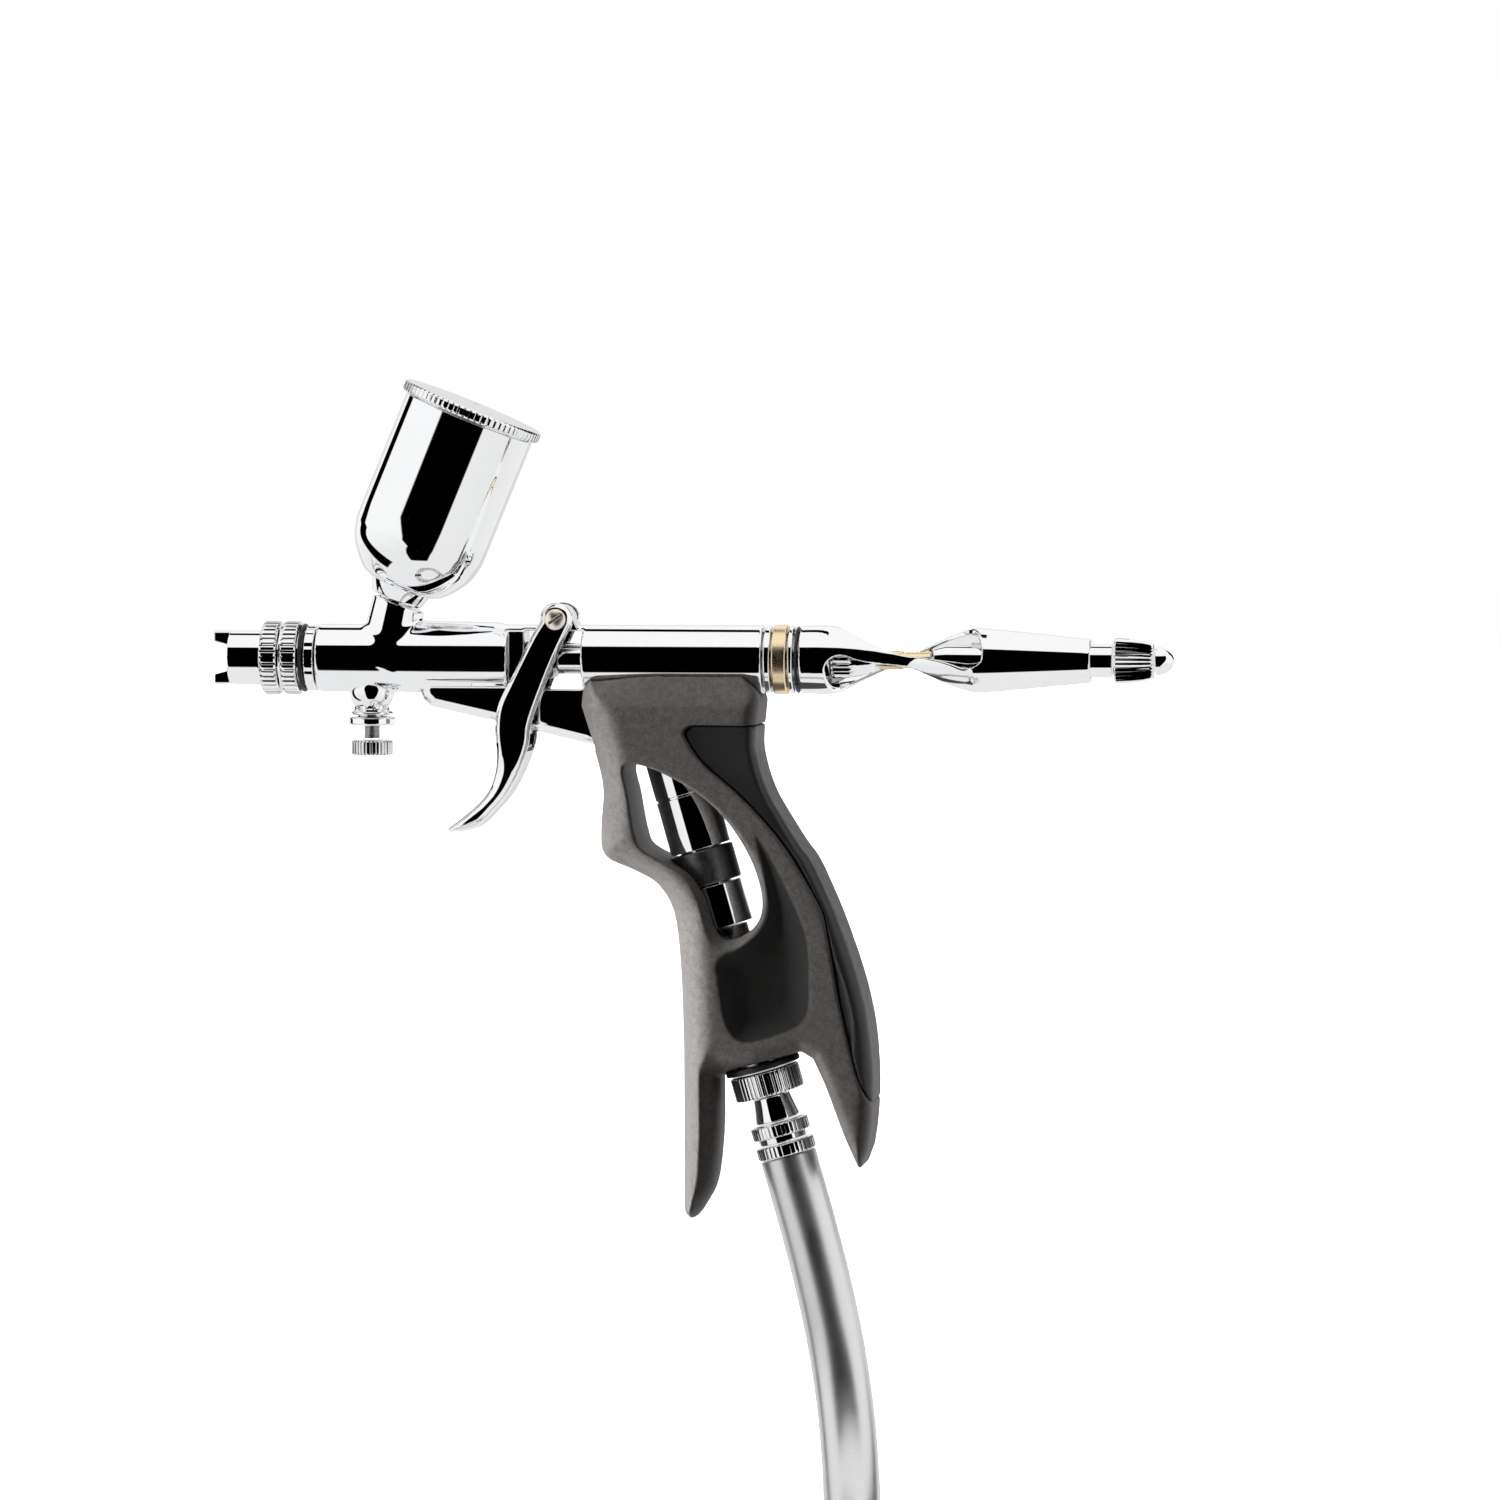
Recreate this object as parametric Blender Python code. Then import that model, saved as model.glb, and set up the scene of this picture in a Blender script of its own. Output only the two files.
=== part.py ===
"""Trigger airbrush with a pistol grip, a gravity cup and an air hose, as separate parts.

Lengths are millimetres here and become metres where a mesh is made. x runs along the
barrel from the nozzle (negative) to the tail (positive), z is up and y = 0 is the plane
of symmetry. Shapes are drawn with z counted from the barrel's axis. The world's origin
lies in the palm area of the grip, AXIS_Z below the barrel's axis.
"""
import math

import bmesh
import bpy
from mathutils import Vector

MM = 0.001
GAP = 0.3                      # clearance between parts that touch
ROUND_LARGE = 22               # sides of a large, an ordinary and a small round piece
ROUND = 14
ROUND_SMALL = 10

# Driving dimensions
AXIS_Z = 53.0                  # barrel axis above the origin
BARREL_R = 6.0
BARREL_FRONT = -79.4
BARREL_REAR = 0.0
SLOT_FRONT = -45.1             # trigger slot through the barrel
CORE_REAR = -42.3              # the barrel's core between the cheeks ends here
SLOT_REAR = -31.9
SLOT_TOP = 5.0
SLOT_BOTTOM = -5.3
NEEDLE_R = 0.65
NEEDLE_TUBE_R = 2.8
CUP_X = -70.1                  # where the cup's and the air valve's axes meet the barrel's
CUP_TILT = math.radians(22.5)  # the cup leans back by this much
CUP_R = 11.9
LID_R = 12.9
PIVOT_X = -36.4                # trigger pivot
PIVOT_Z = 7.06
CHEEK_IN = 3.75                # trigger cheeks, from here outwards
CHEEK_OUT = 5.2
ARM_HALF = 3.4                 # half width of the air arm under the barrel
VALVE_Z = -9.35                # height of the air valve plunger in the arm
GRIP_HALF = 9.0
TUBE_R = 5.4                   # air tube in the grip's window
SKIN = 1.6                     # thickness of the rubber back strap at the grip's back
INLET_X = 0.53                 # centre of the inlet nut, on the air tube's slanted axis
INLET_Z = -74.5
INLET_TILT = math.radians(16.0)
HOSE_R = 5.0
FLOOR_Z = -185.0               # what the coil lies on
COIL_R = 50.0                  # middle of the coil's turns
COIL_HALF = 10.2               # half of the coil's radial width
COIL_HEIGHT = 30.2             # three layers of hose
TOP_TURN_R = 45.0              # first turn, on top and inside, and the height of its axis
TOP_TURN_Z = 25.0
LAST_TURN_R = 55.0             # last turn, at the bottom and outside
COIL_LIFT = 1.2                # the tie's thickness under the coil
HOSE_BEND = 42.0               # radius of the hose's bend onto the coil

CUP_AXIS = (math.sin(CUP_TILT), 0.0, math.cos(CUP_TILT))
INLET_AXIS = (math.sin(INLET_TILT), 0.0, -math.cos(INLET_TILT))
COIL_X = 18.5 - TOP_TURN_R
COIL_Y = -HOSE_BEND


def world(x, y, z):
    """A point given from the barrel's axis, in world metres."""
    return Vector((x, y, z + AXIS_Z)) * MM


def along_inlet(distance, side=0.0):
    """A point on the air tube's axis, distance below the inlet nut, side to its right."""
    direction = Vector(INLET_AXIS)
    across = Vector((math.cos(INLET_TILT), 0.0, math.sin(INLET_TILT)))
    return Vector((INLET_X, 0.0, INLET_Z)) + direction * distance + across * side


def clear_scene():
    for old in list(bpy.data.objects):
        bpy.data.objects.remove(old, do_unlink=True)


def material(name, colour, roughness, metallic):
    mat = bpy.data.materials.new(name)
    mat.use_nodes = True
    shader = mat.node_tree.nodes["Principled BSDF"]
    shader.inputs["Base Color"].default_value = (*colour, 1.0)
    shader.inputs["Roughness"].default_value = roughness
    shader.inputs["Metallic"].default_value = metallic
    return mat


def finish_object(name, bm, mat, base=(0.0, 0.0, 0.0), axis=(0.0, 0.0, 1.0)):
    """Turn a bmesh into an object whose local +Z lies along axis, with its origin at base."""
    bmesh.ops.recalc_face_normals(bm, faces=bm.faces)
    mesh = bpy.data.meshes.new(name)
    bm.to_mesh(mesh)
    bm.free()
    mesh.shade_smooth()
    mesh.set_sharp_from_angle(angle=math.radians(35))
    mesh.materials.append(mat)
    obj = bpy.data.objects.new(name, mesh)
    bpy.context.collection.objects.link(obj)
    obj.location = world(*base)
    obj.rotation_mode = "QUATERNION"
    obj.rotation_quaternion = Vector((0.0, 0.0, 1.0)).rotation_difference(Vector(axis))
    return obj


def bridge(bm, first, second):
    """Faces between two rings of vertices, either of which may be a single point."""
    count = max(len(first), len(second))
    if count == 1:
        return
    for i in range(count):
        j = (i + 1) % count
        corners = [first[i % len(first)], first[j % len(first)],
                   second[j % len(second)], second[i % len(second)]]
        bm.faces.new(list(dict.fromkeys(corners)))


def turned(name, profile, mat, base=(0.0, 0.0, 0.0), axis=(1.0, 0.0, 0.0), segments=ROUND):
    """A turned solid. profile is its closed outline, as (distance along axis, radius)."""
    bm = bmesh.new()
    rings = []
    for along, radius in profile:
        count = segments if radius > 0 else 1
        turns = [2 * math.pi * i / segments for i in range(count)]
        rings.append([bm.verts.new((radius * math.cos(a) * MM, radius * math.sin(a) * MM,
                                    along * MM)) for a in turns])
    for first, second in zip(rings, rings[1:] + rings[:1]):
        bridge(bm, first, second)
    return finish_object(name, bm, mat, base, axis)


def prism(name, outline, low, high, mat, plane="XZ"):
    """A closed outline pushed through from low to high, along Y or, for plane YZ, along X."""
    bm = bmesh.new()
    rings = []
    for depth in (low, high):
        if plane == "XZ":
            points = [(u, depth, v) for u, v in outline]
        else:
            points = [(depth, u, v) for u, v in outline]
        rings.append([bm.verts.new(Vector(point) * MM) for point in points])
    bm.faces.new(rings[0])
    bm.faces.new(rings[1])
    bridge(bm, rings[0], rings[1])
    return finish_object(name, bm, mat)


def block(name, x_range, y_range, z_range, mat):
    corners = [(x_range[0], z_range[0]), (x_range[1], z_range[0]),
               (x_range[1], z_range[1]), (x_range[0], z_range[1])]
    return prism(name, corners, y_range[0], y_range[1], mat)


def rounded(points, steps=2):
    """A smooth line through points, from the first to the last."""
    padded = [points[0]] + list(points) + [points[-1]]
    line = []
    for p0, p1, p2, p3 in zip(padded, padded[1:], padded[2:], padded[3:]):
        for step in range(steps):
            t = step / steps
            line.append(tuple(0.5 * (2 * b + (c - a) * t + (2 * a - 5 * b + 4 * c - d) * t * t
                                     + (3 * b - a - 3 * c + d) * t ** 3)
                              for a, b, c, d in zip(p0, p1, p2, p3)))
    line.append(tuple(points[-1]))
    return line


def rounded_loop(points, steps=2):
    """A smooth closed line through points."""
    wrapped = [points[-1]] + list(points) + [points[0], points[1]]
    return rounded(wrapped, steps)[steps:-steps - 1]


def arc(centre, radius, start, end, steps=8):
    turns = [math.radians(start + (end - start) * i / steps) for i in range(steps + 1)]
    return [(centre[0] + radius * math.cos(a), centre[1] + radius * math.sin(a))
            for a in turns]


def grown(outline, amount):
    """The outline moved outwards by amount, corner by corner."""
    area = sum(a[0] * b[1] - b[0] * a[1] for a, b in zip(outline, outline[1:] + outline[:1]))
    sign = 1.0 if area > 0 else -1.0
    moved = []
    count = len(outline)
    for i, point in enumerate(outline):
        before = Vector(outline[i - 1])
        after = Vector(outline[(i + 1) % count])
        here = Vector(point)
        first = (here - before).normalized()
        second = (after - here).normalized()
        normal = Vector((first.y + second.y, -first.x - second.x)).normalized() * sign
        stretch = 1.0 / max(0.5, normal.dot(Vector((first.y, -first.x)) * sign))
        moved.append(tuple(here + normal * amount * stretch))
    return moved


def use(target, tool, operation):
    """Combine target with tool, which becomes a hidden guide."""
    change = target.modifiers.new(tool.name, "BOOLEAN")
    change.operation = operation
    change.object = tool
    tool.hide_render = True
    tool.display_type = "WIRE"


def tube(name, points, radius, mat, resolution=2):
    """A round bar or hose through points given from the barrel's axis."""
    curve = bpy.data.curves.new(name, "CURVE")
    curve.dimensions = "3D"
    curve.bevel_depth = radius * MM
    curve.bevel_resolution = resolution
    curve.use_fill_caps = True
    spline = curve.splines.new("POLY")
    spline.points.add(len(points) - 1)
    for spot, point in zip(spline.points, points):
        spot.co = (*world(*point), 1.0)
    curve.materials.append(mat)
    obj = bpy.data.objects.new(name, curve)
    bpy.context.collection.objects.link(obj)
    return obj


def coil_spring(name, start, end, mean_r, wire_r, turns, z, mat):
    """A compression spring along x, from start to end, with square wire."""
    bm = bmesh.new()
    per_turn = 10
    sides = 4
    total = turns * per_turn
    rings = []
    for i in range(total + 1):
        turn = 2 * math.pi * i / per_turn
        x = start + wire_r + (end - start - 2 * wire_r) * i / total
        ring = []
        for k in range(sides):
            around = 2 * math.pi * k / sides
            radius = mean_r + wire_r * math.cos(around)
            ring.append(bm.verts.new(Vector((x + wire_r * math.sin(around),
                                             radius * math.cos(turn),
                                             radius * math.sin(turn))) * MM))
        rings.append(ring)
    for first, second in zip(rings, rings[1:]):
        bridge(bm, first, second)
    bm.faces.new(rings[0])
    bm.faces.new(rings[-1])
    return finish_object(name, bm, mat, (0.0, 0.0, z))


def make_materials():
    return {
        "chrome": material("chrome", (0.83, 0.84, 0.86), 0.08, 1.0),
        "dark_chrome": material("dark_chrome", (0.10, 0.10, 0.12), 0.15, 1.0),
        "gold": material("gold", (0.86, 0.66, 0.42), 0.16, 1.0),
        "steel": material("steel", (0.62, 0.62, 0.64), 0.25, 1.0),
        "frame": material("frame", (0.23, 0.22, 0.22), 0.45, 0.8),
        "rubber": material("rubber", (0.05, 0.05, 0.055), 0.6, 0.0),
        "seal": material("seal", (0.02, 0.02, 0.02), 0.5, 0.0),
        "hose": material("hose", (0.55, 0.56, 0.58), 0.4, 0.0),
    }


def make_head(mats):
    """Crown cap, nozzle cap, nozzle and what joins them to the barrel."""
    cap = turned("crown_cap", [
        (-98.3, 3.4), (-98.3, 4.5), (-98.0, 4.77), (-89.7, 4.77), (-89.3, 6.2), (-89.0, 6.5),
        (-86.6, 6.5), (-86.2, 6.1), (-86.2, 4.3), (-90.2, 4.3), (-90.2, 3.4)],
        mats["chrome"], segments=ROUND_LARGE)
    notch = [(-99.0, -2.6), (-99.0, 2.6), (-96.6, 2.5)]
    notch += arc((-96.6, 0.0), 2.5, 90, -90, 8)[1:]
    notch_cut = prism("crown_notch_cut", [(min(x, -95.3), z) for x, z in notch],
                      -8.0, 8.0, mats["chrome"])
    use(cap, notch_cut, "DIFFERENCE")

    turned("nozzle_cap", [
        (-89.9, 1.5), (-89.9, 3.7), (-89.6, 4.0), (-85.9, 4.0), (-85.9, 6.1), (-85.6, 6.1),
        (-85.6, 6.2), (-85.3, 6.5), (-83.0, 6.5), (-82.7, 6.2), (-82.7, 4.9), (-85.1, 4.9),
        (-85.1, 3.2), (-88.1, 3.2), (-88.1, 1.5)], mats["chrome"], segments=ROUND_LARGE)
    turned("nozzle", [
        (-92.6, 0.45), (-92.6, 0.75), (-88.6, 1.2), (-87.8, 1.2), (-87.8, 2.4), (-86.0, 2.4),
        (-86.0, 2.9), (-84.6, 2.9), (-84.6, 1.1)], mats["steel"])
    turned("head_seal", [
        (-82.4, 4.95), (-82.4, 5.9), (-82.1, 6.1), (-81.8, 5.9), (-81.8, 4.95)],
        mats["seal"], segments=ROUND_LARGE)
    turned("head_adapter", [
        (-84.3, 1.5), (-84.3, 4.6), (-81.5, 4.6), (-81.5, 5.6), (-81.3, 5.85), (-79.9, 5.85),
        (-79.7, 5.6), (-79.7, 2.2), (-77.2, 2.2), (-77.2, 1.5)], mats["chrome"],
        segments=ROUND_LARGE)


def make_barrel(mats):
    """The barrel with its cup socket, valve boss, pivot lug and air arm, in one piece."""
    barrel = turned("barrel", [
        (BARREL_FRONT, 0.0), (BARREL_FRONT, 5.8), (BARREL_FRONT + 0.3, BARREL_R),
        (BARREL_REAR - 0.3, BARREL_R), (BARREL_REAR, 5.8), (BARREL_REAR, 0.0)],
        mats["chrome"], segments=ROUND_LARGE)

    socket = turned("cup_socket_guide", [
        (3.0, 0.0), (3.0, 6.6), (5.6, 5.6), (7.2, 4.8), (9.0, 4.3), (11.0, 4.2), (11.0, 0.0)],
        mats["chrome"], (CUP_X, 0.0, 0.0), CUP_AXIS, ROUND_LARGE)
    boss = turned("valve_boss_guide", [
        (3.5, 0.0), (3.5, 4.4), (5.4, 4.1), (7.6, 3.44), (9.6, 3.75), (10.05, 3.75),
        (10.05, 0.0)], mats["chrome"], (CUP_X, 0.0, 0.0), (0.0, 0.0, -1.0))
    lug_outline = arc((PIVOT_X, PIVOT_Z), 2.6, 180, 0, 10) + [(PIVOT_X + 4.2, 4.6),
                                                            (PIVOT_X - 4.2, 4.6)]
    lug = prism("pivot_lug_guide", lug_outline, -3.4, 3.4, mats["chrome"])
    arm_outline = [(-61.3, -4.0), (-61.2, -6.0), (-60.6, -7.4), (-59.1, -8.5),
                   (-47.3, -11.1), (-30.9, -15.0), (-24.0, -15.2), (-24.0, -4.0)]
    arm = prism("air_arm_guide", arm_outline, -ARM_HALF, ARM_HALF, mats["chrome"])
    for addition in (socket, boss, lug, arm):
        use(barrel, addition, "UNION")

    packing_seat = SLOT_FRONT - 4.2
    spring_seat = SLOT_REAR - 1.0
    cuts = [
        turned("pivot_hole_cut", [(-8.0, 0.0), (-8.0, 1.5), (8.0, 1.5), (8.0, 0.0)],
               mats["chrome"], (PIVOT_X, 0.0, PIVOT_Z), (0.0, 1.0, 0.0), ROUND_SMALL),
        turned("needle_bore_cut", [
            (BARREL_FRONT - 1.0, 0.0), (BARREL_FRONT - 1.0, 2.5), (-76.9, 2.5), (-76.9, 1.3),
            (packing_seat, 1.3), (packing_seat, 2.9), (spring_seat, 2.9), (spring_seat, 4.9),
            (BARREL_REAR + 1.0, 4.9), (BARREL_REAR + 1.0, 0.0)], mats["chrome"]),
        block("slot_cut", (CORE_REAR, SLOT_REAR), (-8.0, 8.0), (SLOT_BOTTOM, SLOT_TOP),
              mats["chrome"]),
        block("near_cheek_cut", (SLOT_FRONT, CORE_REAR + 0.1), (-8.0, -ARM_HALF),
              (SLOT_BOTTOM, SLOT_TOP), mats["chrome"]),
        block("far_cheek_cut", (SLOT_FRONT, CORE_REAR + 0.1), (ARM_HALF, 8.0),
              (SLOT_BOTTOM, SLOT_TOP), mats["chrome"]),
        block("valve_slot_cut", (-44.8, PIVOT_X), (-8.0, 8.0), (-11.3, -7.4),
              mats["chrome"]),
        turned("valve_bore_cut", [(-37.0, 0.0), (-37.0, 2.2), (-23.0, 2.2), (-23.0, 0.0)],
               mats["chrome"], (0.0, 0.0, VALVE_Z)),
        turned("cup_bore_cut", [(0.0, 0.0), (0.0, 1.0), (7.0, 1.0), (7.0, 3.3), (12.0, 3.3),
                                (12.0, 0.0)], mats["chrome"], (CUP_X, 0.0, 0.0), CUP_AXIS),
        turned("valve_boss_cut", [(6.6, 0.0), (6.6, 2.9), (11.0, 2.9), (11.0, 0.0)],
               mats["chrome"], (CUP_X, 0.0, 0.0), (0.0, 0.0, -1.0)),
    ]
    for cutter in cuts:
        use(barrel, cutter, "DIFFERENCE")


def make_cup(mats):
    base = (CUP_X, 0.0, 0.0)
    turned("paint_cup", [
        (7.4, 1.6), (7.4, 3.0), (11.3, 3.0), (11.3, 4.4), (11.6, 4.65), (13.8, 5.4),
        (14.1, 6.2), (14.7, 7.6), (16.9, 9.6), (19.4, 11.1), (22.4, CUP_R),
        (46.0, CUP_R), (46.0, 11.3), (22.6, 11.3), (19.8, 10.5), (17.4, 8.9), (15.4, 6.9),
        (14.4, 4.0), (12.8, 1.6)], mats["chrome"], base, CUP_AXIS, ROUND_LARGE)
    turned("cup_lid", [
        (44.4, 10.2), (44.4, 11.0), (46.3, 11.0), (46.3, 12.6), (46.6, LID_R), (47.8, LID_R),
        (48.2, 12.5), (48.5, 8.0), (48.7, 3.0), (48.7, 0.8), (47.2, 0.8), (47.2, 10.2)],
        mats["chrome"], base, CUP_AXIS, ROUND_LARGE)


def make_air_screw(mats):
    """The small air valve under the barrel: body, stem and knob."""
    base = (CUP_X, 0.0, 0.0)
    down = (0.0, 0.0, -1.0)
    turned("air_screw_body", [
        (6.9, 1.8), (6.9, 2.6), (10.35, 2.6), (10.35, 3.9), (10.6, 4.2), (11.6, 4.2),
        (11.9, 3.9), (11.9, 1.8)], mats["chrome"], base, down)
    turned("air_screw_stem", [
        (8.2, 0.0), (9.6, 1.5), (14.2, 1.5), (14.2, 0.0)], mats["steel"], base, down, ROUND_SMALL)
    turned("air_screw_knob", [
        (14.5, 0.0), (14.5, 3.4), (14.8, 3.7), (16.9, 3.7), (17.2, 3.4), (17.2, 0.0)],
        mats["chrome"], base, down)


def trigger_outline():
    left = [(-41.1, 3.5), (-44.8, -3.9), (-46.8, -8.3), (-47.3, -12.4), (-47.1, -17.1),
            (-48.2, -22.1), (-50.3, -25.2), (-53.8, -28.2), (-56.2, -30.2)]
    right = [(-55.9, -30.7), (-52.9, -30.4), (-50.3, -29.5), (-47.7, -27.0),
             (-45.0, -23.8), (-42.7, -19.4), (-41.3, -15.0), (-40.6, -10.6),
             (-36.9, -0.9), (-33.5, 6.4)]
    head = arc((PIVOT_X, PIVOT_Z), 2.9, 10, 165, 8)
    return head + rounded(left, 2) + rounded(right, 2)


def make_trigger(mats):
    """A fork whose cheeks straddle the barrel and the air arm, and join in a finger blade."""
    trigger = prism("trigger", trigger_outline(), -CHEEK_OUT, CHEEK_OUT, mats["chrome"])
    gap_outline = [(-62.0, 12.0), (-62.0, -14.6), (-47.0, -14.6), (-44.0, -16.2),
                   (-38.0, -16.2), (-28.0, -16.2), (-28.0, 12.0)]
    fork_gap = prism("trigger_fork_cut", gap_outline, -CHEEK_IN, CHEEK_IN, mats["chrome"])
    pivot_hole = turned("trigger_hole_cut", [(-8.0, 0.0), (-8.0, 1.5), (8.0, 1.5), (8.0, 0.0)],
                        mats["chrome"], (PIVOT_X, 0.0, PIVOT_Z), (0.0, 1.0, 0.0), ROUND_SMALL)
    use(trigger, fork_gap, "DIFFERENCE")
    use(trigger, pivot_hole, "DIFFERENCE")

    screw_head = CHEEK_OUT + GAP
    turned("pivot_screw", [
        (-screw_head - 0.7, 0.0), (-screw_head - 0.7, 1.75), (-screw_head - 0.5, 1.95),
        (-screw_head, 1.95), (-screw_head, 1.2), (screw_head, 1.2), (screw_head, 1.95),
        (screw_head + 0.5, 1.95), (screw_head + 0.7, 1.75), (screw_head + 0.7, 0.0)],
        mats["chrome"], (PIVOT_X, 0.0, PIVOT_Z), (0.0, 1.0, 0.0), ROUND_SMALL)
    pin_half = CHEEK_IN - GAP
    for name, x, z, radius in (("trigger_roller", -38.0, -2.44, 1.0),
                               ("trigger_valve_pin", -43.5, -8.6, 0.9)):
        turned(name, [(-pin_half, 0.0), (-pin_half, radius), (pin_half, radius),
                      (pin_half, 0.0)], mats["steel"], (x, 0.0, z), (0.0, 1.0, 0.0), ROUND_SMALL)


def make_needle_group(mats):
    """Needle, packing and everything that slides with the needle."""
    turned("needle", [
        (-97.2, 0.0), (-97.1, 0.05), (-84.0, NEEDLE_R), (30.6, NEEDLE_R), (31.0, 0.4),
        (31.0, 0.0)], mats["steel"], segments=ROUND_SMALL)
    turned("needle_packing", [
        (-49.0, 0.9), (-49.0, 2.5), (-47.2, 2.5), (-47.2, 0.9)], mats["seal"],
        segments=ROUND_SMALL)
    turned("packing_screw", [
        (-46.9, 0.95), (-46.9, 2.5), (-42.2, 2.5), (-42.2, 2.7), (-41.7, 2.2),
        (-41.7, 0.95)], mats["dark_chrome"], segments=ROUND_SMALL)
    tube_front = -36.7
    turned("needle_tube", [
        (tube_front, 0.95), (tube_front, 2.5), (tube_front + 0.3, NEEDLE_TUBE_R),
        (-30.0, NEEDLE_TUBE_R), (-30.0, 4.5), (-28.5, 4.5), (-28.5, NEEDLE_TUBE_R),
        (11.7, NEEDLE_TUBE_R), (11.7, 0.95)], mats["chrome"])
    turned("needle_chuck_nut", [
        (12.0, 0.95), (12.0, 3.0), (12.3, 3.2), (15.2, 3.2), (15.6, 3.0), (19.8, 1.95),
        (19.8, 0.95)], mats["chrome"])
    turned("needle_collet", [
        (20.1, 0.95), (20.1, 1.65), (24.5, 1.65), (24.7, 1.45), (28.8, 1.45), (28.8, 1.55),
        (29.4, 1.55), (29.4, 0.95)], mats["gold"], segments=ROUND_SMALL)
    coil_spring("needle_spring", -28.2, -2.3, 3.75, 0.35, 8, 0.0, mats["steel"])


def make_air_valve(mats):
    """The air valve in the arm: the trigger's pin pushes the plunger back."""
    base = (0.0, 0.0, VALVE_Z)
    turned("valve_plunger", [
        (-42.3, 0.0), (-42.3, 1.6), (-41.3, 1.6), (-41.3, 0.8), (-35.9, 0.8), (-35.9, 1.9),
        (-34.9, 1.9), (-34.9, 0.8), (-33.6, 0.8), (-33.6, 0.0)], mats["steel"], base,
        segments=ROUND_SMALL)
    coil_spring("valve_spring", -34.6, -25.8, 1.45, 0.25, 5, VALVE_Z, mats["steel"])
    turned("valve_plug", [(-25.5, 0.0), (-25.5, 1.9), (-24.2, 1.9), (-24.2, 0.0)],
           mats["steel"], base, segments=ROUND_SMALL)


def make_tail_rings(mats):
    turned("spring_case", [
        (-2.0, 3.1), (-2.0, 4.6), (9.0, 4.6), (9.0, 3.1)], mats["steel"])
    rings = (("rear_collar", 0.3, 1.5, 5.9, "chrome"), ("gold_ring", 1.8, 4.3, 6.1, "gold"),
             ("rear_spacer", 4.6, 5.5, 5.95, "chrome"),
             ("sleeve_seal", 5.8, 6.3, 5.85, "seal"))
    for name, start, end, radius, finish in rings:
        turned(name, [(start, 4.9), (start, radius - 0.2), (start + 0.2, radius),
                      (end - 0.2, radius), (end, radius - 0.2), (end, 4.9)],
               mats[finish], segments=ROUND_LARGE)


def sleeve_radius(x):
    """Outer radius of the tail sleeve: an hourglass in front of a long taper."""
    knots = ((6.6, 5.95), (11.5, 6.0), (15.0, 5.35), (18.5, 4.3), (21.5, 3.35), (24.3, 3.0),
             (26.5, 3.15), (29.5, 4.1), (32.7, 4.95), (36.0, 5.4), (39.5, 5.55),
             (57.0, 3.85))
    for (x0, r0), (x1, r1) in zip(knots, knots[1:]):
        if x <= x1:
            return r0 + (r1 - r0) * (x - x0) / (x1 - x0)
    return knots[-1][1]


def make_tail_sleeve(mats):
    """A turned sleeve with two openings that twist nearly half a turn round it."""
    outer = [6.9, 11.5, 13.2, 15.0, 16.7, 18.5, 20.0, 21.5, 24.3, 26.5, 29.5, 31.0, 32.7,
             36.0, 39.5, 57.0]
    profile = [(6.6, 5.0), (6.6, 5.6)] + [(x, sleeve_radius(x)) for x in outer]
    profile += [(57.4, 3.6), (57.4, 3.25), (40.2, 3.25), (39.2, 4.5), (36.0, 4.5),
                (32.7, 4.1), (29.5, 3.3), (26.5, 2.45), (24.3, 2.3), (21.5, 2.65),
                (18.5, 3.5), (15.0, 4.45), (11.5, 5.0)]
    sleeve = turned("tail_sleeve", profile, mats["chrome"], segments=ROUND_LARGE)

    for number, first_angle in enumerate((-12.0, 168.0)):
        use(sleeve, window_cutter(number, math.radians(first_angle), mats), "DIFFERENCE")


def window_cutter(number, first_angle, mats):
    """A twisted wedge from the axis outwards, which cuts one of the sleeve's openings."""
    window_start = 11.3
    window_end = 38.7
    twist = math.radians(-160.0)
    half_angle = math.radians(60.0)
    stations = 14
    apex = 0.4
    reach = 9.0
    spread = (-1.0, -0.5, 0.0, 0.5, 1.0)
    bm = bmesh.new()
    rings = []
    for i in range(stations + 1):
        share = 0.5 - 0.5 * math.cos(math.pi * i / stations)
        x = window_start + (window_end - window_start) * share
        edge = min(1.0, min(share, 1.0 - share) / 0.2)
        opening = half_angle * (0.12 + 0.88 * math.sin(math.pi / 2 * edge) ** 0.5)
        middle = first_angle + twist * share
        ring = [bm.verts.new(Vector((x, -apex * math.cos(middle),
                                     apex * math.sin(middle))) * MM)]
        for part in spread:
            angle = middle + part * opening
            ring.append(bm.verts.new(Vector((x, -reach * math.cos(angle),
                                             reach * math.sin(angle))) * MM))
        rings.append(ring)
    for first, second in zip(rings, rings[1:]):
        bridge(bm, first, second)
    bm.faces.new(rings[0])
    bm.faces.new(rings[-1])
    return finish_object(f"sleeve_window_cut_{number}", bm, mats["chrome"])


def make_preset(mats):
    """The preset screw at the tail: stop, spindle, knob and end cap."""
    turned("preset_stop", [
        (30.0, 1.85), (30.0, 2.1), (32.2, 2.7), (38.8, 2.7), (38.8, 0.0), (38.2, 0.0),
        (38.2, 1.85)], mats["chrome"])
    turned("preset_spindle", [
        (39.1, 0.0), (39.1, 2.7), (39.4, 2.95), (61.2, 2.95), (61.2, 0.0)],
        mats["chrome"])
    turned("preset_knob", [
        (61.5, 0.0), (61.5, 3.8), (61.8, 4.0), (64.5, 3.85), (66.5, 3.6), (68.0, 3.2),
        (68.4, 3.0), (68.4, 0.0)], mats["chrome"])
    dome = [(68.7 + 3.3 * math.sin(math.radians(a)), 2.5 * math.cos(math.radians(a)))
            for a in (0, 20, 40, 60, 75)]
    turned("preset_end_cap", [(68.7, 0.0)] + dome + [(72.0, 0.0)], mats["chrome"])


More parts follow.
